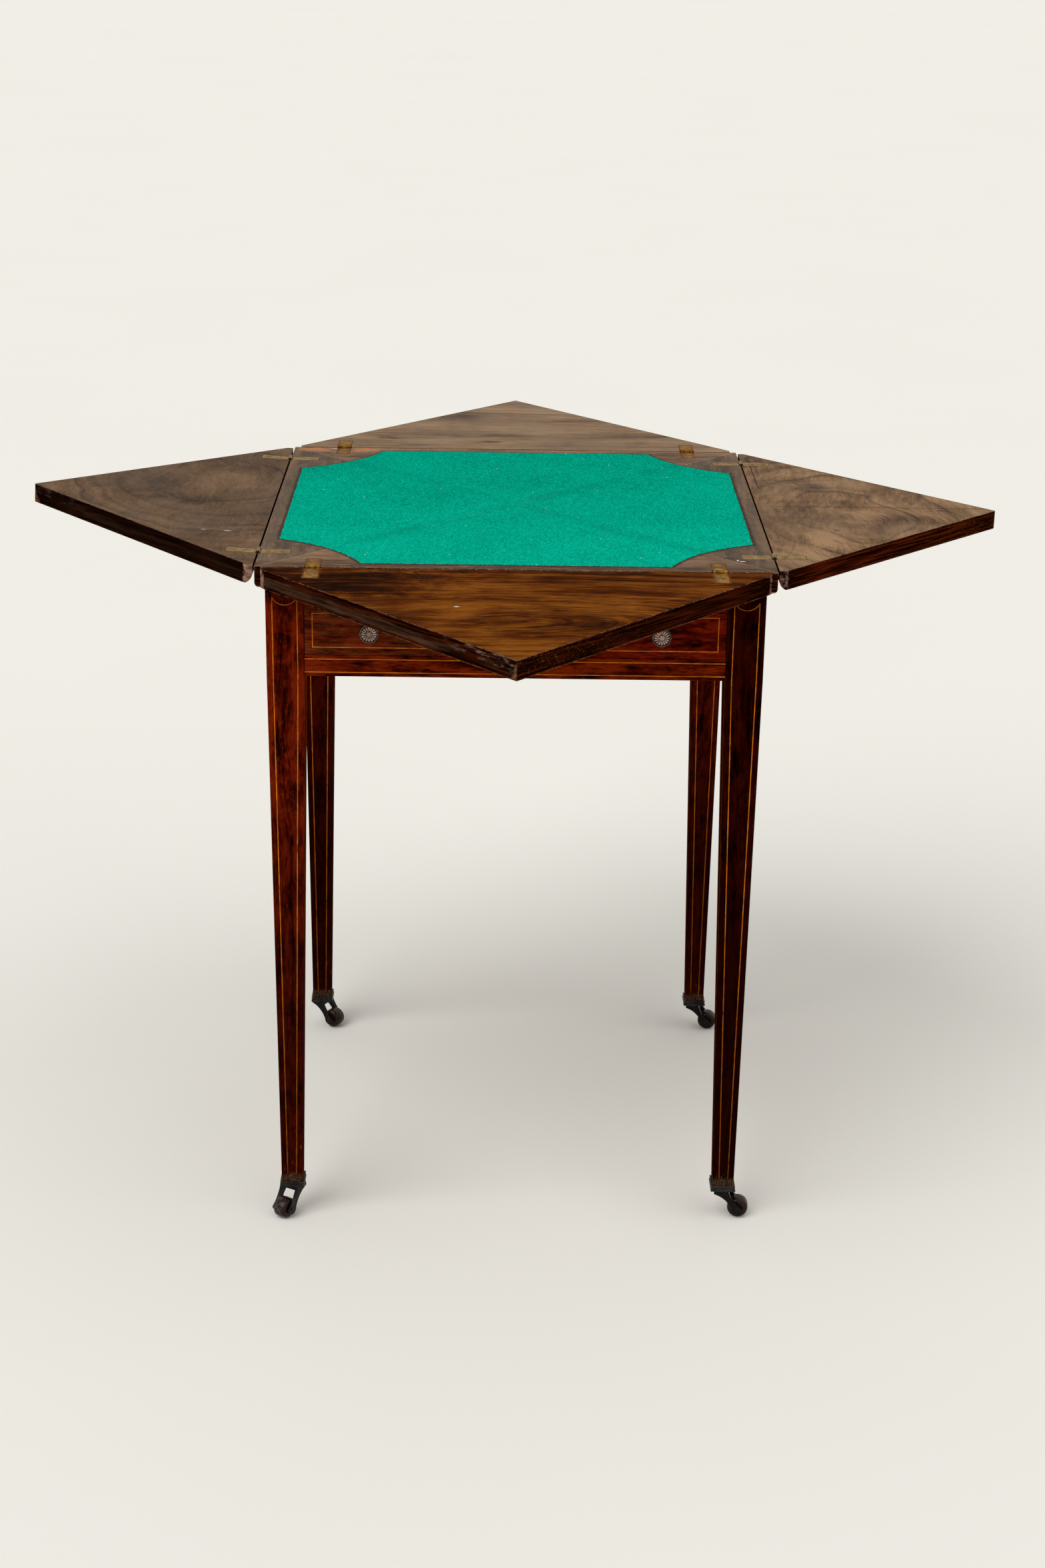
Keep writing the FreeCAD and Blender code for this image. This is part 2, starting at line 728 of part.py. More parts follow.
def make_wheel():
    # A barrel tread with rounded shoulders and a ring round the hub on each face.
    half = wheel_width / 2
    bore = axle_radius + axle_clearance
    hub = half - wheel_hub_recess
    groove = half - wheel_ring_depth
    ring = wheel_hub_radius + wheel_ring_width
    right = [V(bore, hub, 0), V(wheel_hub_radius, hub, 0), V(wheel_hub_radius, groove, 0),
             V(ring, groove, 0), V(ring, half, 0), V(wheel_face_radius, half, 0)]
    left = [V(p.x, -p.y, 0) for p in reversed(right)]
    edges = [Part.makeLine(a, b) for a, b in zip(right, right[1:])]
    edge = V(wheel_radius - wheel_crown, wheel_tread_half, 0)
    shoulder_turn = math.sin(math.radians(45))
    bulge = V(wheel_face_radius + (edge.x - wheel_face_radius) * shoulder_turn,
              wheel_tread_half + (half - wheel_tread_half) * shoulder_turn, 0)
    edge_left = V(edge.x, -edge.y, 0)
    edges.append(Part.Arc(right[-1], bulge, edge).toShape())
    edges.append(Part.Arc(edge, V(wheel_radius, 0, 0), edge_left).toShape())
    edges.append(Part.Arc(edge_left, V(bulge.x, -bulge.y, 0), left[0]).toShape())
    edges += [Part.makeLine(a, b) for a, b in zip(left, left[1:])]
    edges.append(Part.makeLine(left[-1], right[0]))
    wheel = Part.Face(Part.Wire(edges)).revolve(origin, y_axis, 360)
    return wheel.translated(V(castor_trail, 0, wheel_radius))


axle = make_axle()
horn = make_horn().cut(axle)
wheel = make_wheel()
front_left_place = V(-castor_place, -castor_place, 0)
for corner, turn in leg_turns.items():
    place = FreeCAD.Rotation(z_axis, turn).multVec(front_left_place)
    for name, piece in (("castor_horn", horn), ("castor_axle", axle), ("castor_wheel", wheel)):
        nodes[corner + "_" + name] = turned(piece, castor_angles[corner]).translated(place)

os.makedirs("parts", exist_ok=True)
for name, shape in nodes.items():
    shape.exportStep("parts/" + name + ".step")
    print(name, len(shape.Solids), shape.isValid(), round(shape.Volume))
print(len(nodes), "nodes")
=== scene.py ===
import math
import random

import bmesh
import bpy
from mathutils import Matrix, Vector


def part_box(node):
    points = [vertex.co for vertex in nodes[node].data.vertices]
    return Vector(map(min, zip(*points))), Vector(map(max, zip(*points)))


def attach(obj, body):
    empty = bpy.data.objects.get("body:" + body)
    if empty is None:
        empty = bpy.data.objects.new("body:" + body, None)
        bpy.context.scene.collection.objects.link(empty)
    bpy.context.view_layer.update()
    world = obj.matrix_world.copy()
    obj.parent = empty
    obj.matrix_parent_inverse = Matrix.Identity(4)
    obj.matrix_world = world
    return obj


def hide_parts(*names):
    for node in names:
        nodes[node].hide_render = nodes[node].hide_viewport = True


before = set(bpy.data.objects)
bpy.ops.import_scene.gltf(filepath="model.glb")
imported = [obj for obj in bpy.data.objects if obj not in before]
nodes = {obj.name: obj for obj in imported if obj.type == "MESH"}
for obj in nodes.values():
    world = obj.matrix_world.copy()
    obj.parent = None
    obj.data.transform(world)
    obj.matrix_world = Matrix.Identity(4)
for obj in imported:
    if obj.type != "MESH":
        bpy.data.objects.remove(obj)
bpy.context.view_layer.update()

scene = bpy.context.scene
scene.view_settings.view_transform = "Standard"
print("frame loaded:", len(nodes), "nodes")


# camera, fitted to the table's corners, flap tips and feet
viewpoint = dict(
    lens=58.754, sensor=36, farEnd=200, place=(-0.01392, -2.76032, 1.45563),
    yaw=0.535, pitch=20.53, roll=0.881)


def addCamera(v):
    yaw, pitch, roll = (math.radians(v[k]) for k in ("yaw", "pitch", "roll"))
    right = Vector((math.cos(yaw), -math.sin(yaw), 0))
    ahead = Vector((math.sin(yaw) * math.cos(pitch), math.cos(yaw) * math.cos(pitch), -math.sin(pitch)))
    up = right.cross(ahead)
    across = right * math.cos(roll) + up * math.sin(roll)
    upright = up * math.cos(roll) - right * math.sin(roll)
    turn = Matrix((across, upright, -ahead)).transposed().to_4x4()
    lens = bpy.data.cameras.new("camera")
    lens.sensor_fit = "VERTICAL"
    lens.sensor_height = v["sensor"]
    lens.lens = v["lens"]
    lens.clip_end = v["farEnd"]
    camera = bpy.data.objects.new("camera", lens)
    camera.matrix_world = Matrix.Translation(v["place"]) @ turn
    scene.collection.objects.link(camera)
    scene.camera = camera


addCamera(viewpoint)
print("camera placed")


# shader maths: a Wire is one socket of a finish, and expressions on wires add Math nodes
class Wire:
    def __init__(self, finish, socket):
        self.finish = finish
        self.socket = socket

    def maths(self, operation, *values):
        return self.finish.node("Math", {"operation": operation}, dict(enumerate(values)))

    def __add__(self, other):
        return self.maths("ADD", self, other)

    def __radd__(self, other):
        return self.maths("ADD", other, self)

    def __sub__(self, other):
        return self.maths("SUBTRACT", self, other)

    def __rsub__(self, other):
        return self.maths("SUBTRACT", other, self)

    def __mul__(self, other):
        return self.maths("MULTIPLY", self, other)

    def __rmul__(self, other):
        return self.maths("MULTIPLY", other, self)

    def __truediv__(self, other):
        return self.maths("DIVIDE", self, other)

    def __pow__(self, other):
        return self.maths("POWER", self, other)

    def __abs__(self):
        return self.maths("ABSOLUTE", self)

    def sine(self):
        return self.maths("SINE", self)

    def root(self):
        return self.maths("SQRT", self)

    def most(self, other):
        return self.maths("MAXIMUM", self, other)

    def ease(self, low, high):
        # 0 below low, 1 above high, smooth between; low may be the larger
        flip = low > high
        ends = {"Value": self, "From Min": min(low, high), "From Max": max(low, high),
                "To Min": 1.0 if flip else 0.0, "To Max": 0.0 if flip else 1.0}
        return self.finish.node("MapRange", {"interpolation_type": "SMOOTHSTEP"}, ends)


class Finish:
    def __init__(self, name, **shader):
        self.material = bpy.data.materials.new(name)
        self.material.use_nodes = True
        self.tree = self.material.node_tree
        self.tree.nodes.clear()
        output = self.tree.nodes.new("ShaderNodeOutputMaterial")
        self.shader = self.tree.nodes.new("ShaderNodeBsdfPrincipled")
        self.tree.links.new(self.shader.outputs[0], output.inputs["Surface"])
        self.paint(**shader)
        self.colour = None
        self.spot = self.node("TexCoord", {}, {}, "Object")
        self.facing = self.node("TexCoord", {}, {}, "Normal")

    def node(self, kind, settings, sockets, out=0):
        made = self.tree.nodes.new("ShaderNode" + kind)
        for key, value in settings.items():
            if key == "stops":
                ramp = made.color_ramp.elements
                while len(ramp) < len(value):
                    ramp.new(0.5)
                for element, (place, colour) in zip(ramp, value):
                    element.position = place
                    element.color = (*colour, 1)
            else:
                setattr(made, key, value)
        for key, value in sockets.items():
            self.plug(made.inputs[key], value)
        return Wire(self, made.outputs[out])

    def plug(self, socket, value):
        if isinstance(value, Wire):
            self.tree.links.new(value.socket, socket)
        elif socket.type == "RGBA":
            socket.default_value = (*value[:3], 1)
        else:
            socket.default_value = value

    def paint(self, **sockets):
        for name, value in sockets.items():
            self.plug(self.shader.inputs[name.replace("_", " ")], value)

    def split(self, vector):
        return [self.node("SeparateXYZ", {}, {0: vector}, i) for i in range(3)]

    def turned(self, vector, degrees):
        return self.node("Mapping", {}, {"Vector": vector, "Rotation": (0, 0, math.radians(degrees))})

    def noise(self, scale, detail, rough, vector=None):
        sockets = {"Vector": vector or self.spot, "Scale": scale, "Detail": detail, "Roughness": rough}
        return self.node("TexNoise", {}, sockets)

    def streak(self, x, y, z, detail, rough):
        # noise drawn out by the scales that its three coordinates carry
        return self.noise(1, detail, rough, self.node("CombineXYZ", {}, {0: x, 1: y, 2: z}))

    def cells(self, scale):
        return self.node("TexVoronoi", {}, {"Vector": self.spot, "Scale": scale}, "Distance")

    def mix(self, share, first, second):
        return self.node("Mix", {"data_type": "RGBA"}, {0: share, 6: first, 7: second}, 2)

    def coat(self, share, tone):
        # lays a tone over the colour so far
        self.colour = self.mix(share, self.colour, tone)

    def show(self, rough, height, depth, strength):
        # the finished colour, with its roughness and its relief
        relief = self.node("Bump", {}, {"Height": height, "Distance": depth, "Strength": strength})
        self.paint(Base_Color=self.colour, Roughness=rough, Normal=relief)

    def matt(self, share):
        # where share is 1, the same surface without its gloss
        sockets = {"Specular IOR Level": 0.0}
        for name in ("Base Color", "Roughness", "Normal"):
            sockets[name] = Wire(self, self.shader.inputs[name].links[0].from_socket)
        plain = self.node("BsdfPrincipled", {}, sockets)
        mixed = self.node("MixShader", {}, {0: share, 1: Wire(self, self.shader.outputs[0]), 2: plain})
        self.tree.links.new(mixed.socket, self.tree.nodes["Material Output"].inputs["Surface"])

    def edge(self, radius):
        # 0 on flat faces, rising towards 1 where the surface turns within radius
        rounded = self.node("Bevel", {"samples": 4}, {"Radius": radius})
        plain = self.node("NewGeometry", {}, {}, "Normal")
        return 1 - self.node("VectorMath", {"operation": "DOT_PRODUCT"}, {0: rounded, 1: plain}, "Value")

    def oval(self, x, y, place, ragged):
        # 1 inside an oval (middle x and y, half width and half height), fading at its ragged edge
        across = (x - place[0]) * (1 / place[2])
        down = (y - place[1]) * (1 / place[3])
        return ((across * across + down * down).root() + ragged).ease(1.0, 0.35)

    def faces(self):
        # masks of the upper face and of the rim, and how far a face looks to the right
        right, _, up = self.split(self.facing)
        top = up.ease(0.45, 0.8)
        return top, 1 - top.most((0 - up).ease(0.45, 0.8)), right

    def wear(self, names):
        for name in names:
            thing = nodes[name] if isinstance(name, str) else name
            thing.data.materials.clear()
            thing.data.materials.append(self.material)


def scaled(tone, share):
    return tuple(share * c for c in tone)


# figure of a sawn board: clouds, rings round a long eye that come and go, streaks, fibre, wavy contours
# and open pores; each pair says how fine a layer is along and across the board
grainSet = dict(
    bendAcross=7, ripple=(13, 17), fibre=(45, 800), pores=(70, 1300), fade=(5, 14),
    dashes=(36, 360), centre=0.478, lightReach=1.3, closeRings=3.2, swirlShare=0.75)


def grain(f, along, across, depth, g, shade=0.0):
    s = grainSet

    def layer(scales, detail, rough, line):
        return f.streak(along * scales[0], line * scales[1], depth * scales[1], detail, rough)

    def ringNoise(place, detail):
        return f.node("TexNoise", {"noise_dimensions": "1D"},
                      {"W": place, "Scale": 1, "Detail": detail, "Roughness": 0.6})

    wobble = layer((g["bendLength"], s["bendAcross"]), 2, 0.5, across)
    drift = (wobble - 0.5) * g["bend"]
    stretch = (along - g["eye"][0]) * g["stretch"]
    offset = across - g["eye"][1]
    deep = depth - g["eye"][2]
    ring = ((offset * offset + stretch * stretch + deep * deep).root() + drift) * g["rings"]
    rings = ringNoise(ring, 3)
    flow = across + drift
    cloud = layer(g["cloud"], 4, 0.6, flow)
    streaks = layer(g["streaks"], 4, 0.65, flow)
    burr = layer(g["burr"], 3, 0.5, flow)
    rippled = layer(s["ripple"], 2, 0.5, across).ease(0.40, 0.62)
    waves = ((burr + streaks * 0.035 + wobble * 0.1) * g["burr"][2]).sine() * rippled * 0.25 + 0.5
    fibre = layer(s["fibre"], 4, 0.68, flow)
    pores = layer(s["pores"], 1, 0.5, flow).ease(0.6, 0.72)
    fade = layer(s["fade"], 2, 0.5, across).ease(0.36, 0.62)
    dashes = layer(s["dashes"], 3, 0.65, flow).ease(0.55, 0.68)
    parts = g["parts"]
    figure = cloud * parts[0] + rings * parts[1] + streaks * parts[2] + fibre * parts[3] + waves * parts[4]
    stops = [(s["centre"] - g["spread"], g["dark"]), (s["centre"], g["middle"]),
             (s["centre"] + s["lightReach"] * g["spread"], g["light"])]
    f.colour = f.node("ValToRGB", {"stops": stops}, {0: figure + shade})
    f.coat(rings.ease(0.43, 0.33) * fade * g["lines"], g["dark"])
    if "swirl" in g:
        close = ringNoise(ring * s["closeRings"], 2) + streaks * 0.35
        swirl = f.oval(along, across, g["swirl"], (wobble - 0.5) * 2) * close.ease(0.68, 0.54)
        f.coat(swirl * s["swirlShare"], g["dark"])
    f.coat(pores * g["pores"], g["dark"])
    f.coat(dashes * g["dashes"], g["dark"])
    return streaks * 0.4 + fibre * 0.4 - pores * 0.7, pores


def boardAxes(axis, x, y, z):
    # coordinates along, across and through a board sawn along axis
    return {"x": (x, y, z), "y": (y, x, z), "z": (z, x, y)}[axis]


# soft studio light: a key from the front left, a fill from the right and a lamp overhead
lamps = dict(
    key=dict(strength=1.55, angle=45, aim=(0.66, 0.62, -1.0)),
    fill=dict(strength=0.62, angle=60, aim=(-0.75, 0.55, -1.1)),
    top=dict(strength=0.62, angle=90, aim=(0.05, -0.15, -1.0)))
lampDistance = 3
sky = dict(level=0.24, light=(1.0, 0.97, 0.92), backdrop=(0.865, 0.850, 0.790))
floorSet = dict(size=400, dark=(0.90, 0.885, 0.83), light=(0.93, 0.915, 0.86), rough=0.9, specular=0.1)


def addLight(name, l):
    lamp = bpy.data.lights.new(name, "SUN")
    lamp.energy = l["strength"]
    lamp.angle = math.radians(l["angle"])
    light = bpy.data.objects.new(name, lamp)
    light.rotation_euler = Vector(l["aim"]).to_track_quat("-Z", "Y").to_euler()
    light.location = Vector(l["aim"]) * -lampDistance
    scene.collection.objects.link(light)


def addSky(s):
    # soft light from all round; the camera and what shines see a pale backdrop
    world = bpy.data.worlds.new("studio")
    world.use_nodes = True
    tree = world.node_tree
    light = tree.nodes["Background"]
    light.inputs["Color"].default_value = (*s["light"], 1)
    light.inputs["Strength"].default_value = s["level"]
    pale = tree.nodes.new("ShaderNodeBackground")
    pale.inputs["Color"].default_value = (*s["backdrop"], 1)
    path = tree.nodes.new("ShaderNodeLightPath")
    seen = path.outputs["Is Camera Ray"]
    for ray in ("Is Glossy Ray", "Is Transmission Ray"):
        either = tree.nodes.new("ShaderNodeMath")
        either.operation = "MAXIMUM"
        tree.links.new(seen, either.inputs[0])
        tree.links.new(path.outputs[ray], either.inputs[1])
        seen = either.outputs[0]
    both = tree.nodes.new("ShaderNodeMixShader")
    tree.links.new(seen, both.inputs[0])
    tree.links.new(light.outputs[0], both.inputs[1])
    tree.links.new(pale.outputs[0], both.inputs[2])
    tree.links.new(both.outputs[0], tree.nodes["World Output"].inputs["Surface"])
    scene.world = world


def addFloor(s):
    mesh = bpy.data.meshes.new("floor")
    h = s["size"] / 2
    mesh.from_pydata([(-h, -h, 0), (h, -h, 0), (h, h, 0), (-h, h, 0)], [], [(0, 1, 2, 3)])
    floor = bpy.data.objects.new("floor", mesh)
    scene.collection.objects.link(floor)
    f = Finish("pale floor", Roughness=s["rough"], Specular_IOR_Level=s["specular"])
    f.paint(Base_Color=f.mix(f.noise(1.3, 3, 0.5), s["dark"], s["light"]))
    f.wear([floor])


for lampName, lampSet in lamps.items():
    addLight(lampName, lampSet)
addSky(sky)
addFloor(floorSet)
print("floor and light set")


# soft arrises on the wood and the hinge leaves: widths, and how they are rounded
arrisSet = dict(flap=0.0009, panel=0.0008, frame=0.0006, leaf=0.0002, weld=0.000005, segments=2, angle=38)


def easeArrises(names, kind):
    for name in names:
        thing = nodes[name]
        weld = thing.modifiers.new("weld", "WELD")
        weld.merge_threshold = arrisSet["weld"]
        bevel = thing.modifiers.new("arris", "BEVEL")
        bevel.width = arrisSet[kind]
        bevel.segments = arrisSet["segments"]
        bevel.limit_method = "ANGLE"
        bevel.angle_limit = math.radians(arrisSet["angle"])
        normals = thing.modifiers.new("shade", "WEIGHTED_NORMAL")
        normals.keep_sharp = False


def addPiece(name, mesh):
    data = bpy.data.meshes.new(name)
    mesh.to_mesh(data)
    mesh.free()
    piece = bpy.data.objects.new(name, data)
    scene.collection.objects.link(piece)
    return piece


def bridge(mesh, rows):
    # walls between neighbouring rings of points
    for low, high in zip(rows, rows[1:]):
        for i in range(len(low)):
            j = (i + 1) % len(low)
            mesh.faces.new((low[i], low[j], high[j], high[i]))


# places that several pieces share, in metres, and the rise of each flap in degrees
sides = {"front": 0, "right": 90, "back": 180, "left": -90}
corners = ["front_left", "front_right", "rear_right", "rear_left"]
cups, horns, axles, legs = ([corner + part for corner in corners]
                            for part in ("_castor_cup", "_castor_horn", "_castor_axle", "_leg"))
hingeLine = 0.266
hingeAt = 0.206
hingeHeight = 0.7524
topHeight = 0.752
flapThickness = 0.0205
flapRise = {"front": -2.4027, "right": 0.0, "back": 0.7, "left": 3.6}
polishTint = (1.0, 0.78, 0.62)

# flaps: figured rosewood; shades are ovals that run lighter or darker, marks are short splits,
# seams are long lines (axis, place, start, end, width, colour)
# grey and its share lay worn polish and a painted sheen on the upper face, most on the back and side flaps
flapLooks = {
    "front": dict(
        axis="x", light=(0.245, 0.076, 0.0080), middle=(0.084, 0.0170, 0.0011),
        dark=(0.0085, 0.0016, 0.0003), grey=(0.20, 0.07, 0.012), wornSheenShare=0.04,
        edgeRed=(0.060, 0.0085, 0.0016), edgeWear=0.75, tipTone=0.8, rough=0.45, specular=0.0015,
        eye=(-0.085, -0.43, 0.735), stretch=0.20, rings=90, bend=0.06, bendLength=4.0,
        swirl=(0.025, -0.425, 0.090, 0.046), lines=0.6, spread=0.086, dashes=0.3, pores=0.5,
        cloud=(11, 30), streaks=(24, 230), burr=(6, 18, 170), parts=(0.34, 0.18, 0.22, 0.24, 0.02),
        shades=[(-0.20, -0.31, 0.17, 0.07, -0.085), (0.0, -0.50, 0.07, 0.05, 0.05),
                (-0.02, -0.36, 0.12, 0.05, 0.02), (0.07, -0.43, 0.03, 0.03, -0.04),
                (-0.074, -0.277, 0.05, 0.005, -0.09), (0.118, -0.27, 0.03, 0.004, -0.07)],
        marks=[(-0.058, -0.381, 0.004, 0.0022, (0.75, 0.66, 0.58))], seams=[]),
    "back": dict(
        axis="x", light=(0.335, 0.205, 0.108), middle=(0.178, 0.101, 0.049),
        dark=(0.026, 0.011, 0.0055), grey=(0.24, 0.165, 0.105), wornSheenShare=0.35,
        edgeRed=(0.055, 0.0085, 0.0018), edgeWear=0.4, tipTone=0.7, rough=0.46, specular=0.055,
        eye=(-0.03, 0.40, 0.71), stretch=0.22, rings=46, bend=0.06, bendLength=3.2,
        lines=0.5, spread=0.095, dashes=0.3, pores=0.5,
        cloud=(6, 20), streaks=(9, 150), burr=(5, 12, 190), parts=(0.36, 0.18, 0.22, 0.22, 0.02),
        shades=[(-0.066, 0.39, 0.035, 0.035, -0.035), (0.02, 0.37, 0.06, 0.03, 0.02),
                (-0.154, 0.319, 0.024, 0.008, -0.10), (-0.032, 0.304, 0.020, 0.008, -0.11),
                (-0.121, 0.285, 0.022, 0.005, -0.09)],
        marks=[], seams=[]),
    "left": dict(
        axis="y", light=(0.205, 0.116, 0.060), middle=(0.098, 0.053, 0.026),
        dark=(0.018, 0.007, 0.0035), grey=(0.155, 0.108, 0.074), wornSheenShare=0.3,
        edgeRed=(0.014, 0.0045, 0.0024), edgeWear=0.14, tipTone=1.0, rough=0.42, specular=0.012,
        eye=(0.08, -0.325, 0.72), stretch=0.8, rings=46, bend=0.10, bendLength=7.0,
        lines=0.45, spread=0.105, dashes=0.07, pores=0.25,
        cloud=(11, 14), streaks=(42, 200), burr=(7, 9, 230), parts=(0.40, 0.22, 0.20, 0.16, 0.02),
        shades=[(-0.325, 0.085, 0.05, 0.05, 0.04), (-0.445, 0.0, 0.07, 0.07, -0.045),
                (-0.355, -0.015, 0.06, 0.03, -0.045), (-0.285, 0.09, 0.014, 0.07, -0.035),
                (-0.30, -0.10, 0.03, 0.05, 0.03)],
        marks=[(-0.305, -0.136, 0.006, 0.0016, (0.72, 0.66, 0.58)),
               (-0.33, -0.1375, 0.004, 0.0014, (0.6, 0.52, 0.45)),
               (-0.345, 0.0, 0.002, 0.002, (0.3, 0.11, 0.05))],
        seams=[("x", -0.133, -0.36, -0.27, 0.0007, (0.20, 0.14, 0.10))]),
    "right": dict(
        axis="y", light=(0.36, 0.212, 0.108), middle=(0.150, 0.080, 0.037),
        dark=(0.022, 0.009, 0.0045), grey=(0.215, 0.142, 0.090), wornSheenShare=0.3,
        edgeRed=(0.095, 0.0125, 0.0022), edgeWear=0.55, tipTone=0.4, rough=0.44, specular=0.014,
        eye=(-0.03, 0.37, 0.71), stretch=0.7, rings=46, bend=0.09, bendLength=6.5,
        lines=0.45, spread=0.095, dashes=0.10, pores=0.25,
        cloud=(11, 14), streaks=(36, 180), burr=(7, 9, 240), parts=(0.39, 0.22, 0.20, 0.17, 0.02),
        shades=[(0.3825, -0.028, 0.022, 0.03, 0.06), (0.32, -0.118, 0.022, 0.035, 0.05),
                (0.339, 0.094, 0.032, 0.028, -0.07), (0.42, -0.04, 0.05, 0.02, -0.03),
                (0.35, 0.03, 0.05, 0.02, -0.025), (0.36, -0.07, 0.03, 0.02, -0.03)],
        marks=[(0.344, -0.092, 0.005, 0.0024, (0.006, 0.003, 0.002)),
               (0.378, -0.131, 0.005, 0.002, (0.006, 0.003, 0.002)),
               (0.469, -0.003, 0.005, 0.002, (0.01, 0.005, 0.003)),
               (0.339, 0.094, 0.006, 0.004, (0.012, 0.009, 0.008))],
        seams=[("x", 0.0075, 0.278, 0.53, 0.0011, (0.022, 0.008, 0.004)),
               ("x", 0.128, 0.275, 0.38, 0.0008, (0.05, 0.026, 0.015)),
               ("y", 0.2762, 0.085, 0.225, 0.0009, (0.006, 0.003, 0.002))]),
}
# colours of the wear that all four flaps share, with the painted light on edges that face left and the
# painted highlight on the arrises
flapWear = dict(
    edgeBlack=(0.0045, 0.0010, 0.0004), rubbedLitDark=(0.013, 0.0052, 0.0025),
    rubbedLitPale=(0.165, 0.082, 0.043), gold=(0.23, 0.078, 0.015), arris=(0.33, 0.185, 0.110),
    scuff=(0.27, 0.185, 0.135), rawDark=(0.15, 0.065, 0.042), rawPale=(0.46, 0.27, 0.20),
    split=(0.012, 0.006, 0.004), chipDark=(0.045, 0.014, 0.006), chipPale=(0.22, 0.090, 0.040),
    scratch=(0.40, 0.29, 0.20), tipFrom=0.2545, tipTo=0.2562)


def seamMask(f, x, y, seam):
    # a thin wavering line along x or y, broken in places
    axis, place, start, end, width, _ = seam
    run, off = (x, y - place) if axis == "x" else (y, x - place)
    waver = (f.streak(run * 70, place, 0.0, 3, 0.7) - 0.5) * (width * 3.2)
    within = run.ease(start, start + 0.006) * run.ease(end, end - 0.006)
    return abs(off + waver).ease(width, width * 0.45) * within


def flapWood(side, look, w):
    f = Finish(side + " flap rosewood", Specular_IOR_Level=look["specular"], Specular_Tint=polishTint)
    x, y, z = f.split(f.spot)
    ragged = (f.noise(55, 4, 0.65) - 0.5) * 1.5
    shade = sum(f.oval(x, y, place, ragged) * lift for *place, lift in look["shades"])
    along, across, depth = boardAxes(look["axis"], x, y, z)
    relief, pores = grain(f, along, across, depth, look, shade)
    # the flap's own frame: hinge along x, point towards -y
    fx, fy, fz = f.split(f.turned(f.spot, -sides[side]))
    outward = -hingeLine - fy
    below = topHeight + outward * math.tan(math.radians(flapRise[side])) - fz
    top, rim, right = f.faces()
    facesLeft = right.ease(0.2, -0.2)
    # grey patches on the upper face: worn polish, and painted sheen
    worn = f.noise(9, 4, 0.6).ease(0.42, 0.62) * look["wornSheenShare"]
    f.coat(worn * top, look["grey"])
    for seam in look["seams"]:
        f.coat(seamMask(f, x, y, seam) * top * 0.9, seam[-1])
    for *place, tint in look["marks"]:
        f.coat(f.oval(x, y, place, ragged) * top, tint)
    # free edges: black polish left along the top, rubbed through to brown below it
    edgeRun = (abs(fx) - outward) * 0.7071
    level = below / flapThickness + (f.streak(edgeRun * 26, fz * 60, 0.3, 4, 0.65) - 0.5) * 0.7
    rubbed = level.ease(0.28, 0.46) * level.ease(0.92, 0.78)
    edgeGrain = f.streak(edgeRun * 14, fz * 420, 0.0, 4, 0.65)
    edgeTone = f.mix(edgeGrain.ease(0.42, 0.66), w["edgeBlack"], look["edgeRed"])
    streaked = f.streak(edgeRun * 20, fz * 380, 0.5, 4, 0.7).ease(0.34, 0.66)
    patchy = f.streak(edgeRun * 9, fz * 30, 2.5, 3, 0.6).ease(0.34, 0.60)
    nearPoint = 0.45 + edgeRun.ease(0.02, -0.18) * 0.55
    # the rubbed brown goes only on edges that face left: rubbed polish, made paler there as painted light
    # from the left
    rubbedLitTone = f.mix(streaked * nearPoint, w["rubbedLitDark"], w["rubbedLitPale"])
    edgeTone = f.mix(rubbed * patchy * facesLeft * look["edgeWear"], edgeTone, rubbedLitTone)
    # golden stipple on the edges that face right, most near the point
    stipple = f.streak(edgeRun * 330, fz * 420, 0.5, 3, 0.75).ease(0.55, 0.68)
    stipple = stipple * (0.10 + edgeRun.ease(0.02, -0.19) * 0.55) * right.ease(-0.2, 0.2)
    edgeTone = f.mix(stipple * look["edgeWear"], edgeTone, w["gold"])
    f.coat(rim, edgeTone)
    # pale rubbed arrises, where the polish wears through, with a painted highlight along them
    rubbing = f.streak(edgeRun * 130, fz * 300, outward * 130, 4, 0.7)
    arris = f.edge(0.0016).ease(0.02, 0.14) * rubbing.ease(0.44, 0.58)
    f.coat(arris * look["edgeWear"] ** 0.5, w["arris"])
    # pale scuffs near the point on the edge that faces left
    scuff = f.streak(edgeRun * 45, fz * 190, 4.0, 4, 0.72).ease(0.50, 0.62) * edgeRun.ease(-0.07, -0.16)
    scuff = scuff * level.ease(0.62, 0.40) * rim * facesLeft * look["edgeWear"]
    f.coat(scuff * 0.75, w["scuff"])
    # broken raw wood at the two base tips
    tips = (abs(fx) + (f.noise(120, 3, 0.6) - 0.5) * 0.010).ease(w["tipFrom"], w["tipTo"])
    rawGrain = f.streak(x * 90, y * 260, z * 260, 4, 0.65)
    rawShare = rawGrain.ease(0.35, 0.65)
    pale = 0.30 + 0.50 * look["tipTone"]
    raw = f.mix(rawShare, scaled(w["rawDark"], pale), scaled(w["rawPale"], pale))
    lessSplit = 0.14 * look["tipTone"]
    splits = f.noise(170, 3, 0.6).ease(0.44 + lessSplit, 0.50 + lessSplit)
    raw = f.mix(splits, raw, w["split"])
    f.coat(tips * rim * 0.92, raw)
    # the left side of the point is chipped to bare wood below
    chipped = (edgeRun + level * -0.012).ease(-0.188, -0.194) * rim * facesLeft
    f.coat(chipped * 0.9, f.mix(rawShare, w["chipDark"], w["chipPale"]))
    # fine pale scratches
    scratch = f.streak((x + y) * 9, (x - y) * 900, z * 9, 1, 0.5).ease(0.735, 0.76)
    f.coat(scratch * top * 0.12, w["scratch"])
    polish = f.noise(26, 3, 0.6)
    rough = look["rough"] + (polish - 0.5) * 0.16 + worn * 0.1 + pores * 0.1 + rim * 0.08
    f.show(rough, relief + polish * 0.5 + tips * rawGrain * 4, 0.00022, 0.5)
    f.matt(rim)
    f.wear([side + "_flap"])


for side, look in flapLooks.items():
    flapWood(side, look, flapWear)
easeArrises([side + "_flap" for side in sides], "flap")
print("flaps finished")

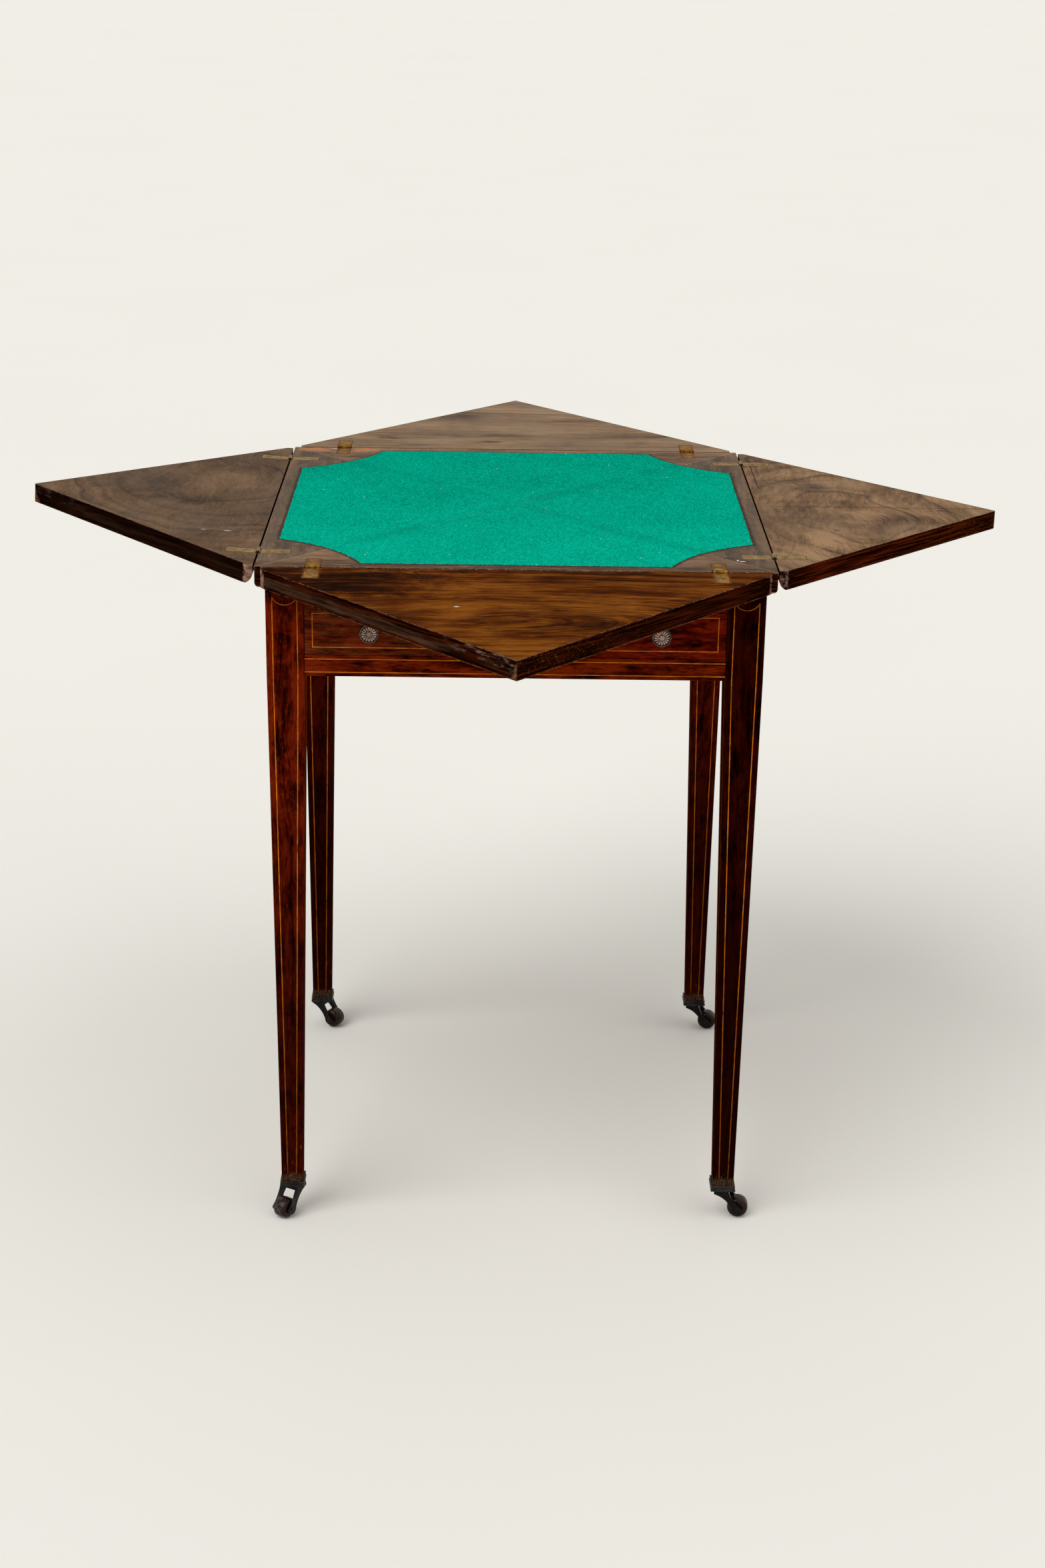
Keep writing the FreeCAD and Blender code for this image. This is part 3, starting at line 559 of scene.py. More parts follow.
# baize let into the panel: straight sides, corners cut in by an arc, and a frayed edge
baizeSet = dict(
    edge=0.2482, start=0.1580, bulge=0.19389, top=0.75245, base=0.7508, fuzz=0.75218,
    steps=44, sideSteps=150, fray=0.0011, tuck=0.0002, inset=0.0004, insetMore=0.0006,
    dark=(0.0003, 0.095, 0.058), middle=(0.0006, 0.352, 0.228), light=(0.0030, 0.630, 0.430),
    band=(0.0008, 0.165, 0.102), dust=(0.26, 0.50, 0.43), lint=(0.70, 0.78, 0.72),
    edgeShade=(0.001, 0.060, 0.038), edgePale=(0.16, 0.42, 0.30),
    sheen=0.012, sheenTint=(0.05, 0.9, 0.65))


def cornerArc(b):
    # the front right arc passes through the end of one side, the bulge and the start of the next
    first, last = Vector((b["start"], -b["edge"])), Vector((b["edge"], -b["start"]))
    mid = (first + last) / 2
    sag = (Vector((b["bulge"], -b["bulge"])) - mid).length
    radius = ((last - first).length ** 2 / 4 + sag ** 2) / (2 * sag)
    return mid + Vector((1, -1)).normalized() * (radius - sag), radius


# panel: worn border with mitred corners round the baize; damage is given as ovals
panelLook = dict(
    light=(0.32, 0.172, 0.086), middle=(0.165, 0.082, 0.038), dark=(0.028, 0.012, 0.0065),
    grey=(0.300, 0.195, 0.122), dull=(0.060, 0.052, 0.043), half=0.265, rough=0.5,
    specular=0.030, lines=0.8, spread=0.066, dashes=0.5, pores=0.5,
    eye=(0.02, 0.33, 0.70), stretch=0.05, rings=55, bend=0.05, bendLength=3.0,
    cloud=(9, 30), streaks=(9, 160), burr=(9, 20, 120), parts=(0.34, 0.16, 0.28, 0.16, 0.06),
    # glue also paints the cloth's shadow on the wood
    stain=(0.045, 0.021, 0.011), glue=(0.022, 0.010, 0.006), grime=(0.055, 0.025, 0.013),
    mitre=(0.42, 0.31, 0.23), edgeBlack=(0.0065, 0.0014, 0.0005), edgeRed=(0.085, 0.015, 0.0035),
    rawDark=(0.20, 0.060, 0.020), rawPale=(0.62, 0.29, 0.13), dent=(0.040, 0.019, 0.011),
    splinter=(0.80, 0.74, 0.66), fleck=(0.50, 0.36, 0.26), arris=(0.36, 0.215, 0.13),
    rawStrips=[(-0.240, 0.2535, 0.029, 0.0135), (-0.179, 0.2535, 0.027, 0.0110)],
    splinters=[(-0.2165, 0.259, 0.005, 0.0011), (0.232, -0.2235, 0.0045, 0.0016),
               (0.2275, -0.2195, 0.0016, 0.0035)],
    dents=[(-0.205, -0.236, 0.0095, 0.0055), (0.2205, -0.212, 0.012, 0.0035)])


def panelWood(p, b):
    f = Finish("panel rosewood", Specular_IOR_Level=p["specular"], Specular_Tint=polishTint)
    x, y, z = f.split(f.spot)
    # the border strips run along their own sides and meet in mitres
    sideways = (abs(x) - abs(y)).ease(-0.0002, 0.0002)
    along = x + (y - x) * sideways
    across = y + (x - y) * sideways
    relief, _ = grain(f, along, across, z, p)
    top, rim, _ = f.faces()
    worn = f.noise(22, 4, 0.65).ease(0.36, 0.62)
    f.coat(worn * top * 0.45, p["grey"])
    # dulled polish, most on the left and right strips
    dull = f.streak(along * 18, across * 90, z, 4, 0.65).ease(0.30, 0.62) * 0.35 + 0.35
    f.coat(dull * (0.3 + sideways * 0.7) * top, p["dull"])
    # dark glue stains beside the cloth
    fromMiddle = abs(x).most(abs(y))
    toEdge = p["half"] - fromMiddle
    stain = f.streak(along * 50, across * 120, z, 4, 0.65).ease(0.47, 0.62) * toEdge.ease(0.006, 0.014)
    f.coat(stain * (0.28 + sideways * 0.2) * top, p["stain"])
    # a dark line round the cloth, of old glue and fluff and of painted shadow at the cloth's edge, and
    # grime along the front strip
    centre, radius = cornerArc(b)
    acrossCorner = abs(x) - centre.x
    downCorner = abs(y) + centre.y
    toCloth = (fromMiddle - b["edge"]).most(radius - (acrossCorner ** 2 + downCorner ** 2).root())
    glueShadowLine = (toCloth + (f.noise(160, 4, 0.7) - 0.5) * 0.006).ease(0.0052, 0.0014)
    f.coat(glueShadowLine * top * 0.9, p["glue"])
    grimy = y.ease(-0.240, -0.252) * f.streak(x * 30, y * 200, 0.0, 4, 0.7).ease(0.30, 0.55)
    f.coat(grimy * top * 0.85, p["grime"])
    mitre = abs(abs(x) - abs(y)).ease(0.0010, 0.0004) * f.noise(60, 3, 0.6).ease(0.3, 0.5)
    f.coat(mitre * top * 0.55, p["mitre"])
    edgeGrain = f.streak(along * 16, z * 420, 0.0, 4, 0.65)
    edgeTone = f.mix(edgeGrain.ease(0.46, 0.68), p["edgeBlack"], p["edgeRed"])
    f.coat(rim, edgeTone)
    # the edge is broken away to raw orange wood at the back left; dents and splinters near the corners
    ragged = (f.noise(130, 4, 0.7) - 0.5) * 1.6
    raw = f.mix(f.streak(x * 60, y * 500, z * 500, 4, 0.65), p["rawDark"], p["rawPale"])
    for place in p["rawStrips"]:
        f.coat(f.oval(x, y, place, ragged), raw)
    for place in p["dents"]:
        f.coat(f.oval(x, y, place, ragged) * top * 0.7, p["dent"])
    for place in p["splinters"]:
        f.coat(f.oval(x, y, place, ragged * 0.5) * top, p["splinter"])
    # pale flecks and bruises along the outer edges
    flecks = f.streak(along * 240, across * 520, z * 240, 4, 0.75)
    fleck = flecks.ease(0.58, 0.66) * toEdge.ease(0.009, 0.0005) * z.ease(0.7490, 0.7515)
    f.coat(fleck * (0.9 - sideways * 0.55), p["fleck"])
    arris = f.edge(0.0014).ease(0.03, 0.2) * f.noise(190, 4, 0.7).ease(0.47, 0.62)
    f.coat(arris * 0.8, p["arris"])
    polish = f.noise(32, 3, 0.6)
    rough = p["rough"] + (polish - 0.5) * 0.2 + worn * 0.08 + rim * 0.1
    f.show(rough, relief + polish * 0.6 - mitre * 1.2, 0.00025, 0.6)
    f.matt(rim)
    f.wear(["top_panel"])


panelWood(panelLook, baizeSet)
easeArrises(["top_panel"], "panel")
print("panel finished")

# frame: dark red rosewood
darkLook = dict(
    light=(0.150, 0.0115, 0.0016), middle=(0.058, 0.0029, 0.0005), dark=(0.0055, 0.0006, 0.0002),
    fleck=(0.24, 0.030, 0.0060), rubbed=(0.22, 0.095, 0.045), bruise=(0.24, 0.13, 0.085),
    rough=0.36, stretch=0.012, rings=120, bend=0.06, bendLength=3.0,
    lines=0.7, spread=0.055, dashes=0.6, pores=0.5,
    cloud=(26, 62), streaks=(14, 230), burr=(16, 30, 90), parts=(0.40, 0.12, 0.26, 0.14, 0.08))


def darkWood(name, axis, eye, names, extra=None, **changes):
    look = dict(darkLook, eye=eye, **changes)
    f = Finish(name, Specular_IOR_Level=0.0)
    x, y, z = f.split(f.spot)
    along, across, depth = boardAxes(axis, x, y, z)
    relief, _ = grain(f, along, across, depth, look)
    polish = f.noise(24, 4, 0.62)
    rubbed = f.edge(0.0013).ease(0.03, 0.22) * f.noise(120, 4, 0.7).ease(0.52, 0.66)
    f.coat(rubbed * 0.7, look["rubbed"])
    flecks = f.streak(along * 90, across * 520, depth * 520, 4, 0.72)
    f.coat(flecks.ease(0.54, 0.68) * 0.45, look["fleck"])
    f.coat(flecks.ease(0.42, 0.30) * 0.6, look["dark"])
    # bruises, and pale scratches on a slant
    bruise = f.noise(75, 4, 0.72).ease(0.70, 0.76)
    slant = f.streak((x + y + z * 0.6) * 22, (z - x - y) * 620, 0.0, 2, 0.6).ease(0.715, 0.745)
    f.coat(bruise * 0.5 + slant * 0.35, look["bruise"])
    if extra:
        extra(f, x, y, z)
    rough = look["rough"] + (polish - 0.5) * 0.22 + rubbed * 0.2 + bruise * 0.25
    f.show(rough, polish * 0.8 + relief * 0.5, 0.00025, 0.5)
    f.wear(names)


# legs: each board has its own eye, and its tones are the frame's times its share; the share is painted
# light and shade, lifting the front left leg and darkening the front right one most
legLooksAndShade = {"front_left": dict(eye=(0.3, -0.29, -0.21), share=1.08),
            "front_right": dict(eye=(0.3, 0.21, -0.30), share=0.22),
            "rear_right": dict(eye=(0.3, 0.30, 0.21), share=0.75),
            "rear_left": dict(eye=(0.3, -0.2, 0.29), share=0.42)}
footSet = dict(
    shade=(0.007, 0.0010, 0.0005), bare=(0.30, 0.14, 0.055), split=(0.006, 0.003, 0.002),
    bandDark=(0.012, 0.006, 0.0035), bandPale=(0.115, 0.064, 0.038))


def footWear(f, x, y, z):
    # darker towards the feet, and rubbed through and split above the cups
    f.coat(z.ease(0.56, 0.22) * 0.75, footSet["shade"])
    low = z.ease(0.115, 0.045)
    rough = f.streak(x * 260, y * 260, z * 60, 4, 0.7)
    f.coat(rough.ease(0.62, 0.72) * low * 0.8, footSet["bare"])
    f.coat(rough.ease(0.36, 0.30) * low * 0.8, footSet["split"])
    flecks = f.streak(x * 640, y * 640, z * 380, 4, 0.78)
    band = (z + (rough - 0.5) * 0.016).ease(0.0530, 0.0470)
    bandTone = f.mix(flecks.ease(0.42, 0.62), footSet["bandDark"], footSet["bandPale"])
    f.coat(band * 0.85, bandTone)


for corner in corners:
    look = legLooksAndShade[corner]
    tones = {k: scaled(darkLook[k], look["share"]) for k in ("light", "middle", "dark", "fleck")}
    name = corner.replace("_", " ") + " leg rosewood"
    darkWood(name, "z", look["eye"], [corner + "_leg"], footWear, **tones)
darkWood("side rail rosewood", "y", (0, 0.1, 0.5), ["left_rail", "right_rail"])
darkWood("front rail rosewood", "x", (0.1, -0.2, 0.55), ["drawer_rail", "top_front_rail"],
         light=(0.22, 0.021, 0.0030), middle=(0.088, 0.0055, 0.0010))
darkWood("back rail rosewood", "x", (0, 0.2, 0.5), ["back_rail"])

# drawer front: painted light, paler and redder towards its left end
litEndSet = dict(right=0.12, left=-0.24, share=0.40, dark=(0.030, 0.0050, 0.0012), pale=(0.235, 0.075, 0.022))


def litLeftEnd(f, x, y, z):
    litShare = x.ease(litEndSet["right"], litEndSet["left"])
    fine = f.streak(x * 34, y * 34, z * 210, 4, 0.7).ease(0.34, 0.66)
    f.coat(litShare * litEndSet["share"], f.mix(fine, litEndSet["dark"], litEndSet["pale"]))


darkWood("drawer front rosewood", "x", (-0.15, -0.16, 0.74), ["drawer_front"], litLeftEnd,
         light=(0.20, 0.0125, 0.0022), middle=(0.074, 0.0028, 0.0005), rings=70, stretch=0.08, bend=0.09,
         cloud=(20, 70), streaks=(12, 210))
rails = ["left_rail", "right_rail", "back_rail", "drawer_rail", "top_front_rail"]
easeArrises(legs + rails + ["drawer_front"], "frame")
print("frame finished")


# bare inside woods: oak linings, plain carcass
bareLook = dict(
    eye=(0.1, 0.4, 0.4), stretch=0.03, rings=140, bend=0.02, bendLength=2.0, rough=0.68,
    specular=0.2, lines=0.3, spread=0.10, dashes=0.25, pores=0.5, cloud=(3, 25),
    streaks=(6, 260), burr=(4, 20, 60), parts=(0.25, 0.25, 0.28, 0.2, 0.02))
oakTones = dict(light=(0.40, 0.245, 0.125), middle=(0.28, 0.158, 0.075), dark=(0.13, 0.066, 0.030))
pineTones = dict(light=(0.30, 0.165, 0.078), middle=(0.19, 0.096, 0.043), dark=(0.085, 0.040, 0.018))


def bareWood(name, axis, names, tones):
    look = dict(bareLook, **tones)
    f = Finish(name, Specular_IOR_Level=look["specular"])
    along, across, depth = boardAxes(axis, *f.split(f.spot))
    relief, _ = grain(f, along, across, depth, look)
    dirt = f.noise(11, 4, 0.65).ease(0.5, 0.75)
    f.coat(dirt * 0.35, look["dark"])
    rough = look["rough"] + (dirt - 0.5) * 0.1
    f.show(rough, relief, 0.0003, 0.6)
    f.wear(names)


bareWood("drawer side oak", "y", ["drawer_left_side", "drawer_right_side"], oakTones)
bareWood("drawer bottom oak", "x", ["drawer_bottom", "drawer_back"], oakTones)
bareWood("runner pine", "y", ["left_drawer_runner", "right_drawer_runner"], pineTones)
bareWood("bearer pine", "x", ["pivot_bearer"], pineTones)

# light stringing, darker towards the feet, with painted shade under the top, lost in places
stringSet = dict(
    dark=(0.40, 0.095, 0.006), light=(0.82, 0.235, 0.016), gone=(0.03, 0.010, 0.005),
    dimmedAndShaded=(0.085, 0.017, 0.0025), foot=(0.022, 0.011, 0.006), rough=0.34)


def boxwood(names, s):
    f = Finish("boxwood stringing", Specular_IOR_Level=0.0)
    tone = f.noise(60, 4, 0.65)
    f.colour = f.mix(tone.ease(0.3, 0.7), s["dark"], s["light"])
    gone = f.noise(34, 3, 0.6).ease(0.66, 0.72)
    f.coat(gone * 0.8, s["gone"])
    _, _, z = f.split(f.spot)
    # darker towards the feet, and painted shade under the top
    f.coat(z.ease(0.56, 0.08) * 0.72 + z.ease(0.69, 0.715) * 0.6, s["dimmedAndShaded"])
    f.coat((z + (tone - 0.5) * 0.02).ease(0.056, 0.046) * 0.9, s["foot"])
    rough = s["rough"] + (tone - 0.5) * 0.2
    f.show(rough, tone, 0.0002, 0.4)
    f.wear(names)


boxwood(["leg_stringing", "rail_stringing", "drawer_stringing"], stringSet)
print("inside woods and stringing finished")


# the cloth itself
def baizeOutline(b):
    step = 2 * b["start"] / b["sideSteps"]
    quarter = [(-b["start"] + step * i, -b["edge"]) for i in range(b["sideSteps"] + 1)]
    centre, radius = cornerArc(b)
    turnFrom = math.atan2(-b["edge"] - centre.y, b["start"] - centre.x)
    turnTo = math.atan2(-b["start"] - centre.y, b["edge"] - centre.x)
    if turnTo > turnFrom:
        turnTo -= 2 * math.pi
    for i in range(1, b["steps"]):
        turn = turnFrom + (turnTo - turnFrom) * i / b["steps"]
        quarter.append(tuple(centre + radius * Vector((math.cos(turn), math.sin(turn)))))
    points = []
    for k in range(4):
        c, s = math.cos(k * math.pi / 2), math.sin(k * math.pi / 2)
        points += [(c * px - s * py, s * px + c * py) for px, py in quarter]
    return points


def addBaize(b):
    mesh = bmesh.new()
    crop = random.Random(3)
    heights = (b["base"], topHeight, b["fuzz"], b["top"])
    rows = [[], [], [], []]
    for px, py in baizeOutline(b):
        # the cut edge is fuzzy above the wood and straight below it
        out = 1 + (crop.random() ** 2 * b["fray"] - b["tuck"]) / b["edge"]
        inside = 1 - (b["inset"] + crop.random() * b["insetMore"]) / b["edge"]
        for row, share, z in zip(rows, (1.0, 1.0, out, inside), heights):
            row.append(mesh.verts.new((px * share, py * share, z)))
    bridge(mesh, rows)
    mesh.faces.new(rows[-1])
    mesh.faces.new(list(reversed(rows[0])))
    return addPiece("baize_cloth", mesh)


def baizeCloth(cloth, b):
    f = Finish("green baize", Specular_IOR_Level=0.0, Sheen_Weight=b["sheen"], Sheen_Roughness=0.5,
               Sheen_Tint=b["sheenTint"])
    x, y, z = f.split(f.spot)
    # the nap is brushed towards the front
    fibres = f.streak(x * 1300, y * 520, z * 900, 3, 0.75)
    nap = f.streak(x * 520, y * 210, z * 300, 3, 0.7)
    tufts = f.streak(x * 230, y * 95, z * 200, 3, 0.65)
    cloud = f.noise(11, 3, 0.5)
    # painted light: the cloth is lighter towards the front
    paintedLight = y.ease(0.20, -0.25) * 0.035
    level = fibres * 0.50 + nap * 0.32 + tufts * 0.11 + cloud * 0.07 + paintedLight - 0.008
    stops = [(0.36, b["dark"]), (0.5, b["middle"]), (0.64, b["light"])]
    f.colour = f.node("ValToRGB", {"stops": stops}, {0: level})
    # the closed flaps meet over the diagonals: a dark rubbed band with dusty specks along it
    waver = (f.noise(30, 3, 0.6) - 0.5) * 0.012
    off = abs(abs(x) - abs(y) + waver)
    band = off.ease(0.024, 0.002) * f.noise(12, 3, 0.6).ease(0.30, 0.62)
    f.coat(band * 0.30, b["band"])
    specks = f.streak(x * 900, y * 420, 0.0, 3, 0.75).ease(0.56, 0.66)
    dusty = f.noise(26, 3, 0.6).ease(0.44, 0.62) * (x * x + y * y).root().ease(0.21, 0.06)
    f.coat(off.ease(0.0065, 0.0005) * specks * dusty * 0.6, b["dust"])
    lint = f.cells(130).ease(0.15, 0.06) * f.noise(80, 2, 0.5).ease(0.62, 0.67)
    f.coat(lint * 0.9, b["lint"])
    # the cut edge is painted shade, dark with paler hairs
    low = z.ease(0.75240, 0.75215)
    f.coat(low * 0.75, f.mix(nap.ease(0.5, 0.62), b["edgeShade"], b["edgePale"]))
    f.show(0.95, fibres * 0.6 + nap * 0.8 + tufts * 0.5 + lint * 0.4, 0.0008, 0.7)
    f.wear([cloth])


baize = addBaize(baizeSet)
baizeCloth(baize, baizeSet)
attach(baize, "top")
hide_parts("baize")
print("baize laid")


# felt strips that the top turns on
feltSet = dict(width=0.014, length=0.12, soft=0.0004, dark=(0.035, 0.032, 0.028), light=(0.13, 0.12, 0.105))


def addGlides(s):
    f = Finish("grey felt", Specular_IOR_Level=0.1, Sheen_Weight=0.2)
    hairs = f.noise(900, 3, 0.7)
    f.colour = f.mix(hairs, s["dark"], s["light"])
    f.show(0.95, hairs, 0.0005, 0.7)
    low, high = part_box("top_glides")
    mesh = bmesh.new()
    place = Matrix.Translation((high.x - s["width"] / 2, 0, (low.z + high.z) / 2))
    size = Matrix.Diagonal((s["width"], s["length"], high.z - low.z, 1))
    for turn in range(4):
        spin = Matrix.Rotation(turn * math.pi / 2, 4, "Z")
        bmesh.ops.create_cube(mesh, size=1, matrix=spin @ place @ size)
    bmesh.ops.bevel(mesh, geom=mesh.edges[:], offset=s["soft"], segments=2, profile=0.5, affect="EDGES")
    felt = addPiece("felt_glides", mesh)
    f.wear([felt])
    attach(felt, "frame")
    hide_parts("top_glides")


addGlides(feltSet)


# brass: the front and back hinges are darker than the side ones, which are dry and pale
brassLooks = dict(
    hinge=dict(
        bright=(0.31, 0.142, 0.022), dull=(0.130, 0.057, 0.011), dirt=(0.016, 0.009, 0.005),
        rough=0.45, metallic=0.5, tint=(0.70, 0.43, 0.15)),
    dryHinge=dict(
        bright=(0.31, 0.215, 0.098), dull=(0.175, 0.118, 0.053), dirt=(0.028, 0.016, 0.009),
        rough=0.5, metallic=0.25, tint=(0.70, 0.43, 0.15)),
    knob=dict(
        bright=(0.66, 0.48, 0.41), dull=(0.34, 0.23, 0.19), dirt=(0.014, 0.006, 0.004),
        rough=0.36, metallic=0.5, tint=(0.80, 0.64, 0.57)),
    screw=dict(
        bright=(0.38, 0.245, 0.088), dull=(0.21, 0.130, 0.048), dirt=(0.025, 0.015, 0.008),
        rough=0.38, metallic=0.5, tint=(0.70, 0.43, 0.15)))


# dark along the arrises: dirt, and painted shade where the edges turn
def arrisDirtAndShade(f):
    return f.edge(0.0011).ease(0.02, 0.22)


def agedBrass(name, look, names, dirtMask=None):
    f = Finish(name, Metallic=look["metallic"], Specular_IOR_Level=0.08, Specular_Tint=look["tint"])
    patch = f.noise(130, 4, 0.65)
    fine = f.noise(900, 3, 0.6)
    f.colour = f.mix(patch.ease(0.34, 0.66), look["dull"], look["bright"])
    stain = f.noise(420, 3, 0.7).ease(0.56, 0.68)
    f.coat(stain * 0.6, look["dirt"])
    # on the hinge leaves and the screws, dirt and painted shade along the edges; on the knobs, dirt in the
    # hollows
    grime = dirtMask(f, *f.split(f.spot)) if dirtMask else arrisDirtAndShade(f) * 0.75
    f.coat(grime, look["dirt"])
    rough = look["rough"] + (patch - 0.5) * 0.25 + stain * 0.12
    f.show(rough, fine * 0.5 + patch, 0.00018, 0.6)
    f.wear(names)
    return f


# hinge leaves: dirt and painted shade darken each leaf's edge, growing from inner to outer, which are
# distances from that edge
leafSet = dict(inner=0.0017, outer=0.0005, ragged=0.0016, share=0.85, line=0.0005)


def leaves(ends):
    return [side + "_flap_hinge_leaves" for side in ends] + ["panel_hinge_leaves_" + side for side in ends]


def leafDirtAndShade(side, axis, panelShare):
    # the panel's leaves may be dirtier by panelShare; the hinge lies along axis
    low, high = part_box("panel_hinge_leaves_" + side)
    half = high[axis] - hingeAt
    reach = hingeLine - min(abs(low[1 - axis]), abs(high[1 - axis]))
    inner, outer, line = (leafSet[k] for k in ("inner", "outer", "line"))

    def mask(f, x, y, z):
        run, out = (x, y) if axis == 0 else (y, x)
        ragged = (f.noise(500, 3, 0.65) - 0.5) * leafSet["ragged"]
        sideEdge = (abs(abs(run) - hingeAt) + ragged).ease(half - inner, half - outer)
        endEdge = (abs(abs(out) - hingeLine) + ragged).ease(reach - inner, reach - outer)
        onPanel = abs(out).ease(hingeLine + line, hingeLine - line) * panelShare
        return (sideEdge.most(endEdge).most(arrisDirtAndShade(f)) * leafSet["share"]).most(onPanel)
    return mask


agedBrass("hinge brass", brassLooks["hinge"], leaves(["front", "back"]) + ["hinge_pins"],
          leafDirtAndShade("front", 0, 0.35))
agedBrass("dry hinge brass", brassLooks["dryHinge"], leaves(["left", "right"]), leafDirtAndShade("right", 1, 0.0))
easeArrises(leaves(sides), "leaf")


# rosette knobs: petals round a cluster of beads, inside a beaded rim; back is the turned side,
# as radius and depth
rosetteSet = dict(
    turns=240, petals=16, rimBeads=40, boss=0.0031, petalEnd=0.0082, rimAt=0.0092,
    rimHalf=0.00095, beadRing=0.00185, beadSize=0.0010, bossDepth=0.0012,
    petalDepth=0.0019, petalRise=0.0014, rimDepth=0.0022, rimRise=0.0013,
    stem=0.003, stemSides=24, stemFrom=0.0125,
    front=[0.0005, 0.001, 0.0014, 0.0018, 0.0022, 0.0026, 0.003, 0.0032, 0.0037, 0.0044,
           0.0052, 0.006, 0.0068, 0.0075, 0.008, 0.0083, 0.0085, 0.0087, 0.0089, 0.0092,
           0.0095, 0.0097, 0.01, 0.0102],
    back=[(0.0104, 0.0026), (0.0099, 0.0033), (0.0078, 0.0044), (0.0057, 0.0056),
          (0.0045, 0.0070), (0.0045, 0.0104), (0.0052, 0.0112), (0.0072, 0.0117),
          (0.0074, 0.0129)],
    hollowFrom=-0.26685, hollowTo=-0.26600, hollowShare=0.95)


def rosetteDepth(r, turn, k):
    # how far the pressed face lies behind the foremost bead
    if r < k["boss"]:
        beads = [(0.0, 0.0)]
        for i in range(6):
            around = i * math.pi / 3
            beads.append((k["beadRing"] * math.cos(around), k["beadRing"] * math.sin(around)))
        rise = 0.0
        for bx, by in beads:
            away = (r * math.cos(turn) - bx) ** 2 + (r * math.sin(turn) - by) ** 2
            rise = max(rise, math.sqrt(max(0.0, k["beadSize"] ** 2 - away)))
        return k["bossDepth"] - rise
    if r < k["petalEnd"]:
        share = (r - k["boss"]) / (k["petalEnd"] - k["boss"])
        ridge = abs(math.cos(turn * k["petals"] / 2)) ** 0.55
        return k["petalDepth"] - k["petalRise"] * ridge * math.sin(math.pi * (0.12 + 0.80 * share)) ** 0.6
    bead = abs(math.cos(turn * k["rimBeads"] / 2)) ** 0.5
    swell = max(0.0, 1 - ((r - k["rimAt"]) / k["rimHalf"]) ** 2) ** 0.5
    return k["rimDepth"] - k["rimRise"] * bead * swell


def addRosette(side, k):
    low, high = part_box("drawer_" + side + "_knob")
    axis = Vector(((low.x + high.x) / 2, low.y, (low.z + high.z) / 2))
    mesh = bmesh.new()
    turns = [2 * math.pi * i / k["turns"] for i in range(k["turns"])]
    rings = [(r, [rosetteDepth(r, t, k) for t in turns]) for r in k["front"]]
    rings += [(r, [depth] * len(turns)) for r, depth in k["back"]]
    rows = []
    for r, depths in rings:
        spots = [Vector((r * math.cos(t), d, r * math.sin(t))) for t, d in zip(turns, depths)]
        rows.append([mesh.verts.new(axis + spot) for spot in spots])
    bridge(mesh, rows)
    crown = mesh.verts.new(axis + Vector((0, rosetteDepth(0, 0, k), 0)))
    for i in range(len(turns)):
        mesh.faces.new((rows[0][(i + 1) % len(turns)], rows[0][i], crown))
    # the stem runs through the drawer front
    length = high.y - low.y
    stem = bmesh.ops.create_cone(mesh, segments=k["stemSides"], radius1=k["stem"], radius2=k["stem"],
                                 depth=length - k["stemFrom"], cap_ends=True)
    middle = axis + Vector((0, (length + k["stemFrom"]) / 2, 0))
    spin = Matrix.Translation(middle) @ Matrix.Rotation(math.pi / 2, 4, "X")
    bmesh.ops.transform(mesh, matrix=spin, verts=stem["verts"])
    bmesh.ops.recalc_face_normals(mesh, faces=mesh.faces[:])
    for face in mesh.faces:
        face.smooth = True
    rosette = addPiece("drawer_" + side + "_rosette", mesh)
    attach(rosette, "drawer")
    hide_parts("drawer_" + side + "_knob")
    return rosette


def knobHollows(f, x, y, z):
    return y.ease(rosetteSet["hollowFrom"], rosetteSet["hollowTo"]) * rosetteSet["hollowShare"]


rosettes = [addRosette(side, rosetteSet) for side in ("left", "right")]
agedBrass("knob brass", brassLooks["knob"], rosettes, knobHollows)


# slotted hinge screws, two to a leaf, each in a countersink painted as a dark ring of shade
screwSet = dict(
    radius=0.0034, slot=0.0006, rise=0.00032, lip=0.00004, sink=0.0004, crown=0.6, segments=20,
    seat=1.34, seatSides=24, seatHeights=(-0.0003, 0.00002), places=(0.0125, 0.0265),
    stray=0.0004, seatShadeDark=(0.005, 0.003, 0.002), seatShadePale=(0.025, 0.015, 0.008))


def addScrew(mesh, frameTurn, spot, spin, s):
    # two half discs with a slot between them, on a sunk floor
    def point(px, py, pz):
        c, t = math.cos(spin), math.sin(spin)
        return mesh.verts.new(frameTurn @ (Vector(spot) + Vector((c * px - t * py, t * px + c * py, pz))))
    r, gap, inner = s["radius"], s["slot"], s["crown"]
    reach = math.acos(gap / r)
    for sign in (1, -1):
        low, high, crown = [], [], []
        for i in range(s["segments"] + 1):
            turn = -reach + 2 * reach * i / s["segments"]
            px, py = sign * r * math.cos(turn), r * math.sin(turn)
            low.append(point(px, py, -s["sink"]))
            high.append(point(px, py, s["lip"]))
            crown.append(point(sign * max(gap, r * inner * math.cos(turn)), py * inner, s["rise"]))
        if sign < 0:
            low, high, crown = low[::-1], high[::-1], crown[::-1]
        for a, b in ((low, high), (high, crown)):
            for i in range(len(a) - 1):
                mesh.faces.new((a[i], a[i + 1], b[i + 1], b[i]))
        mesh.faces.new(crown)
        mesh.faces.new(low[::-1])
        mesh.faces.new((low[0], high[0], crown[0], crown[-1], high[-1], low[-1]))
    # the countersink round the head and under the slot: a dark disc that stands for their shade
    turns = [k * 2 * math.pi / s["seatSides"] for k in range(s["seatSides"])]
    rim = [(r * s["seat"] * math.cos(t), r * s["seat"] * math.sin(t)) for t in turns]
    under, over = ([point(px, py, pz) for px, py in rim] for pz in s["seatHeights"])
    seat = [mesh.faces.new((under[k - 1], under[k], over[k], over[k - 1])) for k in range(len(turns))]
    seat += [mesh.faces.new(over), mesh.faces.new(under[::-1])]
    for face in seat:
        face.material_index = 1


